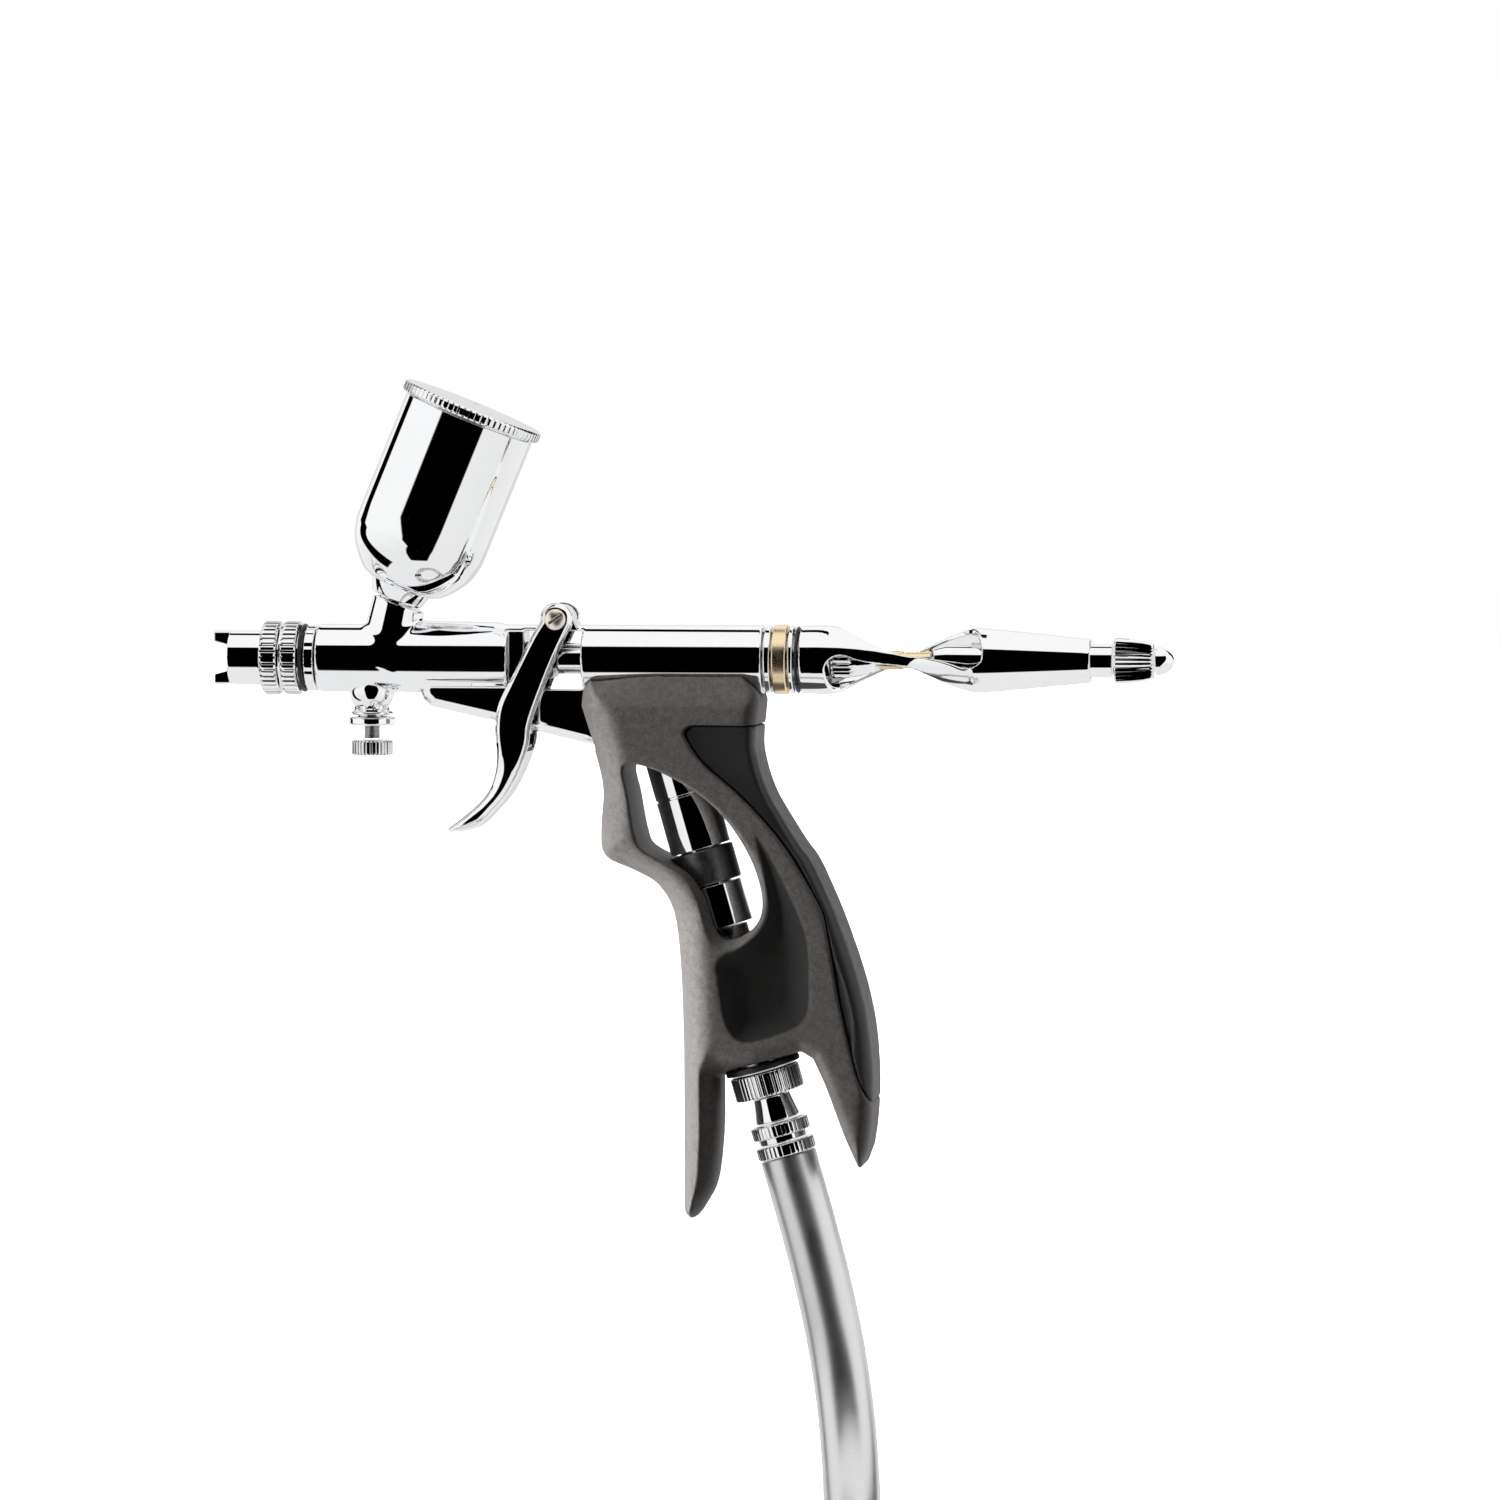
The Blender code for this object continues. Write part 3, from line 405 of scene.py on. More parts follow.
def sculpted(name, shape, low, high, step, **look):
    """A piece from a function of x, y and z that is negative inside it."""
    sides = [np.arange(a - 2 * step, b + 3 * step, step) for a, b in zip(low, high)]
    x, y, z = np.meshgrid(*sides, indexing="ij", sparse=True)
    field = np.ascontiguousarray(np.broadcast_to(shape(x, y, z), [len(s) for s in sides]))
    start = [s[0] for s in sides]
    points, quads, normals = surface_nets(field.astype(np.float32), start, step)
    return add_piece(name, points, quads, (), normals, **look)


# ---- materials

class Nodes:
    """Short ways to add shader nodes to one node tree."""

    def __init__(self, tree):
        self.tree = tree
        tree.nodes.clear()

    def add(self, kind, inputs=None, **settings):
        node = self.tree.nodes.new(kind)
        for key, value in settings.items():
            setattr(node, key, value)
        for key, value in (inputs or {}).items():
            socket = node.inputs[key]
            if isinstance(value, bpy.types.NodeSocket):
                self.tree.links.new(value, socket)
            else:
                socket.default_value = value
        return node

    def math(self, operation, *values):
        """A math node's output; more than two values are taken one after another."""
        if len(values) > 2:
            values = (self.math(operation, *values[:-1]), values[-1])
        return self.add("ShaderNodeMath", dict(enumerate(values)),
                        operation=operation).outputs[0]

    def span(self, value, low, high, to_low, to_high, smooth=False):
        node = self.add("ShaderNodeMapRange", {"Value": value, "From Min": low,
                                               "From Max": high, "To Min": to_low,
                                               "To Max": to_high})
        if smooth:
            node.interpolation_type = "SMOOTHSTEP"
        return node.outputs[0]

    def near(self, value, middle, inner, outer, strength=1.0):
        """The strength near the middle value, fading to nothing from inner to outer."""
        away = self.math("ABSOLUTE", self.math("SUBTRACT", value, middle))
        return self.span(away, inner, outer, strength, 0.0, True)

    def noise(self, place, scale, detail):
        return self.add("ShaderNodeTexNoise", {"Vector": place, "Scale": scale,
                                               "Detail": detail, "Roughness": 0.6}).outputs[0]

    def finish(self, kind, shader):
        self.tree.links.new(shader.outputs[0], self.add(kind).inputs[0])


def make_material(name, colour, metallic, rough, grain, grain_scale, bump, bump_scale,
                  tint, shine=0.5, darker_in=None):
    """A Principled surface whose colour, roughness and relief vary at the given scales.
    darker_in = (attribute, factor): painted shade; where the mesh attribute is 1, the colour
    drops by the factor."""
    mat = bpy.data.materials.new(name)
    mat.use_nodes = True
    nodes = Nodes(mat.node_tree)
    place = nodes.add("ShaderNodeTexCoord").outputs["Object"]
    broad = nodes.noise(place, grain_scale, 4.0)
    fine = nodes.noise(place, bump_scale, 3.0)
    rough_value = nodes.span(broad, 0.3, 0.7, max(0.01, rough - grain), rough + grain)
    mixed = nodes.math("ADD", nodes.math("MULTIPLY", broad, 0.4),
                       nodes.math("MULTIPLY", fine, 0.6))
    ramp = nodes.add("ShaderNodeValToRGB", {"Fac": mixed})
    low, high = ramp.color_ramp.elements
    low.position, high.position = 0.36, 0.64
    low.color = tuple(c * (1 - tint) for c in colour) + (1.0,)
    high.color = tuple(min(1.0, c * (1 + tint)) for c in colour) + (1.0,)
    base = ramp.outputs[0]
    # Painted shade: the base colour is multiplied down where the mesh attribute is set.
    if darker_in:
        attribute, factor = darker_in
        shade = nodes.add("ShaderNodeAttribute", attribute_name=attribute).outputs["Fac"]
        mix = nodes.add("ShaderNodeMix", data_type="RGBA", blend_type="MULTIPLY")
        nodes.tree.links.new(shade, mix.inputs["Factor"])
        nodes.tree.links.new(base, mix.inputs["A"])
        mix.inputs["B"].default_value = (factor, factor, factor, 1.0)
        base = mix.outputs["Result"]
    relief = nodes.add("ShaderNodeBump", {"Height": fine, "Strength": bump,
                                          "Distance": 0.00005})
    shader = nodes.add("ShaderNodeBsdfPrincipled", {
        "Base Color": base, "Roughness": rough_value, "Metallic": metallic,
        "Specular IOR Level": shine, "Normal": relief.outputs[0]})
    nodes.finish("ShaderNodeOutputMaterial", shader)
    MATERIALS[name] = mat


def make_materials():
    # name, colour, metallic, roughness, its spread and scale, relief and its scale, tint
    for look in (
            ("chrome", (0.93, 0.935, 0.945), 1.0, 0.03, 0.012, 60, 0.004, 700, 0.015),
            ("screw_metal", (0.95, 0.86, 0.76), 1.0, 0.32, 0.05, 500, 0.1, 3000, 0.04),
            ("chrome_cut", (0.88, 0.885, 0.89), 1.0, 0.08, 0.03, 300, 0.04, 2500, 0.03),
            ("gold", (1.0, 0.79, 0.50), 1.0, 0.27, 0.04, 400, 0.10, 3000, 0.05),
            ("steel", (0.62, 0.62, 0.62), 1.0, 0.26, 0.06, 500, 0.15, 3000, 0.05),
            ("dark_metal", (0.10, 0.10, 0.11), 1.0, 0.35, 0.08, 500, 0.25, 3500, 0.12),
            ("collar_metal", (0.20, 0.20, 0.21), 1.0, 0.38, 0.1, 900, 0.6, 4500, 0.3),
            ("rubber", (0.016, 0.014, 0.016), 0.0, 0.46, 0.06, 500, 0.22, 5200, 0.18),
            ("seal", (0.012, 0.012, 0.013), 0.0, 0.4, 0.08, 600, 0.2, 3000, 0.2),
            ("hose", (0.76, 0.76, 0.76), 1.0, 0.34, 0.03, 300, 0.06, 2500, 0.03)):
        make_material(*look)
    # The grip's colour drops to 0.12 in its palm hollows: painted shade standing in for the
    # hollows' shadow.
    make_material("grip_metal", (0.088, 0.082, 0.078), 0.0, 0.52, 0.05, 900, 0.45, 4200, 0.34,
                  shine=0.22, darker_in=("painted_hollow_shade", 0.12))


# ---- head, cup, air screw

def make_head():
    turned("crown_ring", [(-90.2, 3.4), (-90.2, 4.6), (-89.6, 4.77), (-89.3, 6.2), (-89, 6.5),
            (-86.6, 6.5), (-86.2, 6.1), (-86.2, 4.3), (-90, 4.3), (-90, 3.4)],
            ribs=(36, 0.55, -89.2, -86.4, "rib"), nodes=["crown_cap"])

    def crown(x, y, z):
        r = radial(y, z)
        wall = smooth_max(r - 4.77, 3.55 - r, 0.15)
        wall = smooth_max(wall, outside(x, -95.4, -89.5), 0.12)
        inner = 3.1 - 0.95 * np.clip((x + 99.0) / 3.5, 0, 1)
        prongs = smooth_max(r - 4.77, inner - np.abs(z), 0.12)
        prongs = smooth_max(prongs, np.abs(y) - 1.6, 0.12)
        prongs = smooth_max(prongs, outside(x, -98.3, -94.6), 0.12)
        return np.minimum(wall, prongs)

    sculpted("crown_prongs", crown, (-98.5, -5, -5), (-89.4, 5, 5), 0.12, nodes=())
    turned("nozzle_cap", [(-89.9, 1.5), (-89.9, 3.7), (-89.6, 4), (-85.9, 4), (-85.9, 6.1),
            (-85.6, 6.1), (-85.6, 6.2), (-85.3, 6.5), (-83, 6.5), (-82.7, 6.2), (-82.7, 4.9),
            (-85.1, 4.9), (-85.1, 3.2), (-88.1, 3.2), (-88.1, 1.5)],
            ribs=(36, 0.55, -85.5, -82.8, "rib"))
    turned("nozzle", [(-92.6, 0.45), (-92.6, 0.75), (-88.6, 1.2), (-87.8, 1.2), (-87.8, 2.4),
            (-86, 2.4), (-86, 2.9), (-84.6, 2.9), (-84.6, 1.1)], segments=48, edge=0.05,
            material="steel")
    turned("head_seal", [(-82.4, 4.95), (-82.4, 5.9), (-82.1, 6.1), (-81.8, 5.9), (-81.8, 4.95)],
            material="seal")
    turned("head_adapter", [(-84.3, 1.5), (-84.3, 4.6), (-81.5, 4.6), (-81.5, 5.6), (-81.3, 5.85),
            (-79.9, 5.85), (-79.7, 5.6), (-79.7, 2.2), (-77.2, 2.2), (-77.2, 1.5)],
            ribs=(24, 0.16, -81.35, -79.8, "flute"))


def make_cup():
    base = (CUP_X, 0.0, 0.0)
    outside_line = spline([(14, 6.3), (14.7, 7.6), (16.9, 9.6), (19.4, 11.1), (22.4, 11.9)], 5)
    inside_line = spline([(22.6, 11.3), (19.8, 10.5), (17.4, 8.9), (15.4, 6.9), (14.4, 4)], 5)
    wall = [(26, 11.9), (46, 11.9), (46, 11.3), (26, 11.3)]
    turned("paint_cup", [(7.4, 1.6), (7.4, 3), (11.3, 3), (11.3, 4.4), (11.6, 4.65), (13.8, 5.45),
            (13.8, 5.9)] + outside_line + wall + inside_line + [(12.8, 1.6)], base, CUP_AXIS,
            segments=192)
    turned("cup_lid", [(44.4, 10.2), (44.4, 11), (46.3, 11), (46.3, 12.6), (46.6, 12.9),
            (47.8, 12.9), (48.2, 12.5), (48.5, 8), (48.7, 3), (48.7, 0.8), (47.2, 0.8),
            (47.2, 10.2)], base, CUP_AXIS, ribs=(72, 0.42, 46.35, 48.1, "rib"), body="lid")


def make_air_screw():
    base = (CUP_X, 0.0, 0.0)
    turned("air_screw_body", [(6.9, 1.8), (6.9, 2.6), (10.35, 2.6), (10.35, 3.9), (10.6, 4.2),
            (11.6, 4.2), (11.9, 3.9), (11.9, 1.8)], base, DOWN)
    thread = [(8.2, 0), (9.6, 1.5), (11.8, 1.5)]
    for i in range(7):
        start = 11.8 + i * 0.34
        thread += [(start + 0.12, 1.22), (start + 0.24, 1.5), (start + 0.34, 1.5)]
    turned("air_screw_stem", thread + [(14.2, 1.5), (14.2, 0)], base, DOWN, segments=48,
            edge=0.03, material="steel", body="air_screw_stem")
    turned("air_screw_knob", ring(14.5, 17.2, 0.0, 3.7, 0.3), base, DOWN,
            ribs=(32, 0.42, 14.6, 17.1, "rib"), body="air_screw_knob", material="chrome_cut")


# ---- barrel and trigger

def section_radius(profile, a):
    """Radius of a turned guide at distance a."""
    return np.interp(a, [p[0] for p in profile], [p[1] for p in profile])


def make_barrel():
    arm_outline = [(-61.3, -3), (-61.2, -6), (-60.6, -7.4), (-59.1, -8.5), (-47.3, -11.1),
            (-30.9, -15), (-24, -15.2), (-24, -3)]

    def shape(x, y, z):
        r = radial(y, z)
        barrel = smooth_max(r - BARREL_R, outside(x, BARREL_FRONT, 0.0), 0.3)
        along = (x - CUP_X) * CUP_AXIS[0] + z * CUP_AXIS[2]
        side = (x - CUP_X) * CUP_AXIS[2] - z * CUP_AXIS[0]
        cup_r = radial(side, y)
        socket_x = -66.1 + (z - 6.2) * 0.21
        socket = radial(x - socket_x, y) - (4.95 - 0.06 * (z - 6.2))
        socket = smooth_max(socket * 0.92, outside(along, 0.0, 11.0), 0.25)
        ridge_t = np.clip((x + 66.0) / 18.0, 0, 1)
        ridge = np.sqrt((x + 66.0 - 18.0 * ridge_t) ** 2 + (y * 0.6) ** 2
                        + (z - 4.6 + 0.5 * ridge_t) ** 2) - 1.9
        body = smooth_min(smooth_min(barrel, ridge, 1.6), socket, 0.8)
        down = -z
        boss_r = radial(x - CUP_X, y)
        boss = boss_r - section_radius(
            spline([(4, 3.9), (6, 3.95), (7.2, 3.75), (8.3, 3.15), (9.2, 3.2)], 5)
            + [(9.45, 3.75), (10.05, 3.75)], down)
        boss = smooth_max(boss * 0.9, outside(down, 4.0, 10.05), 0.2)
        body = smooth_min(body, boss, 0.35)
        arm = smooth_max(side_field(arm_outline, x, z), np.abs(y) - ARM_HALF, 2.6)
        arm = np.maximum(arm, z + 3.0)
        body = smooth_min(body, arm, 0.5)
        lug = radial(x - PIVOT_X, z - PIVOT_Z) - 2.6
        lug_foot = np.maximum(np.abs(x - PIVOT_X) - 4.0 + (z - 4.6) * 0.5,
                              outside(z, 4.0, 7.0))
        lug = smooth_max(np.minimum(lug, lug_foot), np.abs(y) - ARM_HALF, 0.3)
        body = smooth_min(body, lug, 0.6)

        slot_ends = np.minimum(outside(x, CORE_REAR, SLOT_REAR),
                               np.maximum(outside(x, SLOT_FRONT, -42.0),
                                          ARM_HALF - np.abs(y)))
        under = outside(z, -11.3, -7.4)
        cuts = [np.maximum(slot_ends, outside(z, SLOT_BOTTOM, SLOT_TOP)),
                np.maximum(outside(x, VALVE_SLOT_FRONT, -39.8), under),
                np.maximum(np.maximum(outside(x, VALVE_SLOT_FRONT, PIVOT_X), np.abs(y) - 3.05),
                           under),
                np.maximum(radial(y, z - VALVE_Z) - VALVE_BORE_R,
                           outside(x, -37.0, -23.0)),
                np.maximum(r - section_radius([(-81, 2.5), (-76.91, 2.5), (-76.9, 1.3),
                                               (-49.31, 1.3), (-49.3, 2.9), (-32.91, 2.9),
                                               (-32.9, 4.9), (1, 4.9)], x),
                           -82.0 - x),
                np.maximum(cup_r - 3.3, outside(along, 7.0, 12.0)),
                np.maximum(boss_r - 2.9, outside(down, 6.6, 11.5))]
        for cut in cuts:
            body = smooth_max(body, -cut, 0.18)
        pivot = radial(x - PIVOT_X, z - PIVOT_Z) - PIVOT_HOLE_R
        return np.maximum(body, -pivot)

    sculpted("barrel", shape, (-79.6, -6.2, -15.5), (0.2, 6.2, 10.5), 0.24)


def trigger_outline():
    left = spline([(-39.2, 6.6), (-41.1, 3.5), (-44.8, -3.9), (-46.8, -8.3), (-47.3, -12.4),
            (-47.1, -17.1), (-48.2, -22.1), (-50.3, -25.2), (-53.8, -28.2), (-56.2, -30)], 5)
    right = spline([(-55.9, -30.7), (-52.9, -30.4), (-50.3, -29.5), (-47.7, -27), (-45, -23.8),
            (-42.7, -19.4), (-41.3, -15), (-40.6, -10.6), (-36.9, -0.9), (-33.6, 6.2)], 5)
    head = [(PIVOT_X + 2.9 * math.cos(a), PIVOT_Z + 2.9 * math.sin(a)) for a in
            np.radians(np.linspace(10, 160, 16))]
    return head + left + right


def make_trigger():
    outline = trigger_outline()
    screw_turn = 0.6                # radians the driver slot is turned by
    gap_outline = [(-62, 12), (-62, -14.6), (-47, -14.6), (-44, -16.2), (-28, -16.2), (-28, 12)]

    def shape(x, y, z):
        flat = side_field(outline, x, z)
        gap = side_field(gap_outline, x, z)
        half = TRIGGER_HALF - 0.9 * np.clip((-z - 17.0) / 13.0, 0, 1)
        depth = np.abs(y) - half
        bevel = (flat + depth + 0.75) * 0.7071
        soft = np.clip((-z - 15.0) / 5.0, 0, 1)
        plate = smooth_max(smooth_max(flat, depth, 0.2), bevel, 0.15)
        blade = smooth_max(flat, depth, 2.4)
        body = plate * (1 - soft) + blade * soft
        body = smooth_max(body, -smooth_max(gap, np.abs(y) - TRIGGER_GAP, 0.5), 0.3)
        hole = radial(x - PIVOT_X, z - PIVOT_Z) - PIVOT_HOLE_R
        return np.maximum(body, -hole)

    sculpted("trigger", shape, (-56.8, -5.2, -31.0), (-33.2, 5.2, 10.0), 0.2, body="trigger")

    def screw(x, y, z):
        r = radial(x - PIVOT_X, z - PIVOT_Z)
        high = np.abs(y)
        dome = radial(r, high - 3.1) - 3.1
        head = smooth_max(smooth_max(r - 1.95, dome, 0.15), 5.5 - high, 0.1)
        shaft = np.maximum(r - 1.2, high - 5.6)
        body = np.minimum(head, shaft)
        across = (x - PIVOT_X) * math.sin(screw_turn) - (z - PIVOT_Z) * math.cos(screw_turn)
        slot_cut = np.maximum(np.abs(across) - 0.25, 5.85 - high)
        return smooth_max(body, -slot_cut, 0.08)

    sculpted("pivot_screw", screw, (PIVOT_X - 2, -6.3, PIVOT_Z - 2),
            (PIVOT_X + 2, 6.3, PIVOT_Z + 2), 0.09, material="screw_metal")
    for name, x, z, radius, half in (("trigger_roller", -38.0, -2.44, 1.0, 3.45),
                                     ("trigger_valve_pin", -43.5, -8.6, 0.9, 2.9)):
        turned(name, ring(-half, half, 0.0, radius), (x, 0.0, z), ACROSS, segments=48,
                material="steel", body="trigger")


# ---- needle group and tail

def helix(start, end, radius, turns, z):
    """A spring's centre line, a helix of even pitch."""
    share = np.linspace(0, 1, turns * 28)
    return np.stack([start + (end - start) * share,
                     radius * np.cos(2 * math.pi * turns * share),
                     z + radius * np.sin(2 * math.pi * turns * share)], 1)


def shorten(spring, moving_end, fixed_end):
    """Bakes the spring's placement into its mesh; neither end is made to follow anything."""
    tuple(to_world([moving_end])[0])
    tuple(to_world([fixed_end])[0])
    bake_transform(spring)


def make_needle_group():
    turned("needle", [(-97.2, 0), (-97.1, 0.05), (-84, 0.65), (30.6, 0.65), (31, 0.4), (31, 0)],
            segments=32, edge=0.02, material="steel", body="needle")
    turned("needle_packing", ring(-49.0, -47.2, 0.9, 2.5), segments=48, material="seal")
    turned("packing_screw", [(-46.9, 0.95), (-46.9, 2.5), (-42.2, 2.5), (-42.2, 2.7),
            (-41.7, 2.2), (-41.7, 0.95)], segments=48, material="dark_metal")
    turned("needle_tube", [(-36.7, 0.95), (-36.7, 2.5), (-36.4, 2.8), (-30, 2.8), (-30, 4.5),
            (-28.5, 4.5), (-28.5, 2.8), (11.7, 2.8), (11.7, 0.95)], body="needle")
    turned("needle_chuck_nut", [(12, 0.95), (12, 3), (12.3, 3.2), (15.2, 3.2), (15.6, 3),
            (19.8, 1.95), (19.8, 0.95)], ribs=(20, 0.3, 12.05, 15.5, "flute"), body="needle")
    turned("needle_collet", [(20.1, 0.95), (20.1, 1.65), (24.5, 1.65), (24.7, 1.45), (28.8, 1.45),
            (28.8, 1.55), (29.4, 1.55), (29.4, 0.95)], ribs=(14, 0.22, 20.2, 24.4, "flute"),
            material="gold", body="needle")
    spring = swept("needle_spring", helix(-28.2, -2.3, 3.75, 8, 0.0), 0.35, 12, body=None,
            material="steel")
    shorten(spring, (-28.2, 0.0, 0.0), (-2.3, 0.0, 0.0))
    base = (0.0, 0.0, VALVE_Z)
    turned("valve_plunger", [(-42.3, 0), (-42.3, 1.6), (-41.3, 1.6), (-41.3, 0.8), (-35.9, 0.8),
            (-35.9, 1.9), (-34.9, 1.9), (-34.9, 0.8), (-33.6, 0.8), (-33.6, 0)], base,
            segments=40, material="steel", body="valve_plunger")
    spring = swept("valve_spring", helix(-34.6, -25.8, 1.45, 5, VALVE_Z), 0.25, 10, body=None,
            material="steel")
    shorten(spring, (-34.6, 0.0, VALVE_Z), (-25.8, 0.0, VALVE_Z))
    turned("valve_plug", ring(-25.5, -24.2, 0.0, 1.9), base, segments=40, material="steel")


def make_tail():
    turned("spring_case", ring(-2.0, 9.0, 3.1, 4.6), material="steel")
    rings = (("rear_collar", 0.3, 1.5, 5.9, "chrome"), ("gold_ring", 1.8, 4.3, 6.1, "gold"),
             ("rear_spacer", 4.6, 5.5, 5.95, "chrome"),
             ("sleeve_seal", 5.8, 6.3, 5.85, "seal"))
    for name, start, end, radius, finish in rings:
        turned(name, ring(start, end, 4.9, radius, 0.2), material=finish)

    twist = math.radians(-160.0)
    window_start, window_end = 11.3, 38.7

    def shape(x, y, z):
        r = radial(y, z)
        outer = spline([(6.6, 5.95), (11.5, 6), (15, 5.35), (18.5, 4.3), (21.5, 3.35), (24.3, 3),
                (26.5, 3.15), (29.5, 4.1), (32.7, 4.95), (36, 5.4), (39.5, 5.55), (57.4, 3.8)], 6)
        inner = [(6.6, 5), (11.5, 5), (15, 4.45), (18.5, 3.5), (21.5, 2.65), (24.3, 2.3),
                (26.5, 2.45), (29.5, 3.3), (32.7, 4.1), (36, 4.5), (39.2, 4.5), (40.2, 3.25),
                (57.4, 3.25)]
        skin = r - section_radius(outer, x)
        hollow = section_radius(inner, x) - r
        body = smooth_max(smooth_max(skin * 0.95, hollow * 0.95, 0.15),
                          outside(x, 6.6, 57.4), 0.2)
        share_x = np.clip((x - window_start) / (window_end - window_start), 0, 1)
        share = np.arccos(1 - 2 * share_x) / math.pi
        near_end = np.minimum(1.0, np.minimum(share_x, 1 - share_x) / 0.16)
        waist = np.clip(1 - np.abs(x - 25.0) / 9.0, 0, 1)
        opening = np.radians(60.0 + 10.0 * waist) * np.sin(math.pi / 2 * near_end) ** 0.5
        opening = np.where((x > window_start) & (x < window_end), opening, -0.2)
        angle = np.arctan2(z, -y)
        for first in (math.radians(-12.0), math.radians(168.0)):
            middle = first + twist * share
            off = np.abs((angle - middle + math.pi) % (2 * math.pi) - math.pi)
            window = (off - opening) * np.maximum(r, 1.0) * 0.85
            body = smooth_max(body, -window, 0.18)
        return body

    sculpted("tail_sleeve", shape, (6.6, -6.1, -6.1), (57.4, 6.1, 6.1), 0.19)


def make_preset():
    turned("preset_stop", [(30, 1.85), (30, 2.1), (32.2, 2.7), (38.8, 2.7), (38.8, 0), (38.2, 0),
            (38.2, 1.85)], segments=64, body="preset_spindle")
    turned("preset_spindle", [(39.1, 0), (39.1, 2.7), (39.4, 2.95), (61.2, 2.95), (61.2, 0)],
            segments=64, body="preset_spindle")
    turned("preset_knob", [(61.5, 0), (61.5, 3.8), (61.8, 4), (64.5, 3.85), (66.5, 3.6),
            (68, 3.2), (68.4, 3), (68.4, 0)], ribs=(28, 0.36, 61.7, 68.2, "flute"),
            body="preset_knob")
    dome = [(68.7 + 3.3 * math.sin(math.radians(a)), 2.5 * math.cos(math.radians(a))) for a in
            range(0, 80, 5)]
    turned("preset_end_cap", [(68.7, 0)] + dome + [(72, 0)], body="preset_knob")


# ---- grip

BACK_EDGE = [(-0.2, -7.1), (-0.8, -14.1), (-0.3, -17.7), (0.7, -21.2), (2.3, -24.7), (6.7, -31.8),
        (9.2, -35.3), (12.5, -42.4), (15.2, -49.4), (17.5, -56.5), (19.1, -63.5), (19.8, -70.6),
        (19.9, -75.9), (19.6, -81.2), (19, -85.5)]
WINDOW = [(-24, -19.3), (-22.3, -18.1), (-17.4, -19.5), (-10.4, -23.5), (-5.4, -28.3),
        (-1.5, -34.6), (0.4, -40.8), (0, -45.2), (-2.6, -47.9), (-6, -48.8), (-8.1, -46.5),
        (-9.8, -41.5), (-13, -37.1), (-20.1, -33.4), (-21.8, -30.6), (-23.1, -23.7)]
HOLLOW = [(-0.1, -30.7), (2.7, -35), (4.8, -39.2), (7.1, -44.1), (8.7, -49.1), (9, -54.4),
        (9, -58.9), (8.7, -61.4), (7.3, -63.5), (4.8, -64.8), (1.3, -66), (-1.9, -66.7),
        (-4, -66.2), (-5.4, -64.6), (-6.3, -62.1), (-6.8, -58.9), (-7.2, -56.1), (-7.5, -53),
        (-5.8, -51.1), (-4, -50.5), (-1.9, -48.9), (0.1, -46.6), (1.2, -43.4), (1.2, -39.9),
        (0.7, -35.7), (-0.4, -31.4)]
STRAP_CREASE = [(2.6, -24), (5.6, -31), (7.9, -35.4), (10, -40), (11.9, -46), (13.6, -51.5),
        (15.2, -56.1), (16.4, -60.5), (16.9, -65.3), (16.4, -71), (15.6, -76)]
STRAP_INNER = [(18.7, -75.6), (17, -71.1), (14.3, -59.6), (12.2, -47.3), (10.5, -42),
        (4.6, -32.3), (-2.4, -24.3), (-9.5, -18.1), (-12.1, -14.6), (-13, -12.6), (-11.8, -11.4)]


def grip_outline():
    front = [(-31.3, -10.9), (-29.4, -16.8), (-28.1, -22.9), (-28.5, -30), (-27.8, -34.4),
            (-23, -36.7), (-18.6, -39.2), (-15.6, -44.1), (-14.4, -52.9), (-13.9, -65),
            (-13.8, -77.7), (-13.8, -95), (-13.6, -97.6)]
    front_prong = [(-12.8, -98.3), (-11.8, -97.6), (-10.4, -95.6), (-8.5, -91.5), (-7.6, -82.7),
            (-7.6, -73.3)]
    rear_prong = [(9.3, -69.6), (11.6, -74.7), (14.6, -82.7), (17, -88.1), (17.7, -88.9)]
    return ([(-30.8, -2.8), (-31.9, -5.3), (-32.2, -8.1)] + spline(front, 4) +
            spline(front_prong, 4) + [(-6.4, -72.2), (7.2, -68.4)] + spline(rear_prong, 4) +
            spline(BACK_EDGE[::-1], 4) + [(-0.8, -5.3), (-3.2, -2.8)])


def strap_outline():
    return ([(4.4, -11.4), (4.4, -17.6), (11.5, -30), (24, -50), (25, -78.4), (20.5, -78.4)] +
            spline(STRAP_INNER, 4))


class GripField:
    """The 2-D distance fields that the grip's two pieces share, on one grid."""

    def __init__(self, x, y, z):
        self.x, self.y, self.z = x, y, z
        self.outline = side_field(grip_outline(), x, z)
        self.window = side_field(spline(WINDOW, 5, loop=True), x, z)
        self.hollow = side_field(spline(HOLLOW, 3, loop=True), x, z)
        self.strap = side_field(strap_outline(), x, z)
        face = ([(-16, -11), (2, -11), (1.6, -16), (2, -20.5)]
                + spline(STRAP_CREASE, 4) + [(14, -82), (0, -82)])
        self.strap_face = side_field(face, x, z)
        half = GRIP_HALF - 0.7 * np.clip((-z - 55.0) / 45.0, 0, 1)
        self.depth = half - np.abs(y)

    def envelope(self):
        """The whole grip with its edges rounded, most of all at the front."""
        x, y, z = self.x, self.y, self.z
        front = section_radius([(2.8, -31), (8.1, -32), (22.9, -28.1), (34.4, -27.8),
                                (44.1, -15.6), (99, -13.8)], -z)
        roundness = np.clip(1.25 - (x - front) / 11.0, 0, 1)
        body = smooth_max(self.outline - 0.45 * roundness, -self.depth,
                          3.2 + 6.2 * roundness)
        shoulder = (np.abs(y) - GRIP_HALF) * 0.8875 + (z + 8.1) * 0.4608
        return smooth_max(body, shoulder, 0.5)


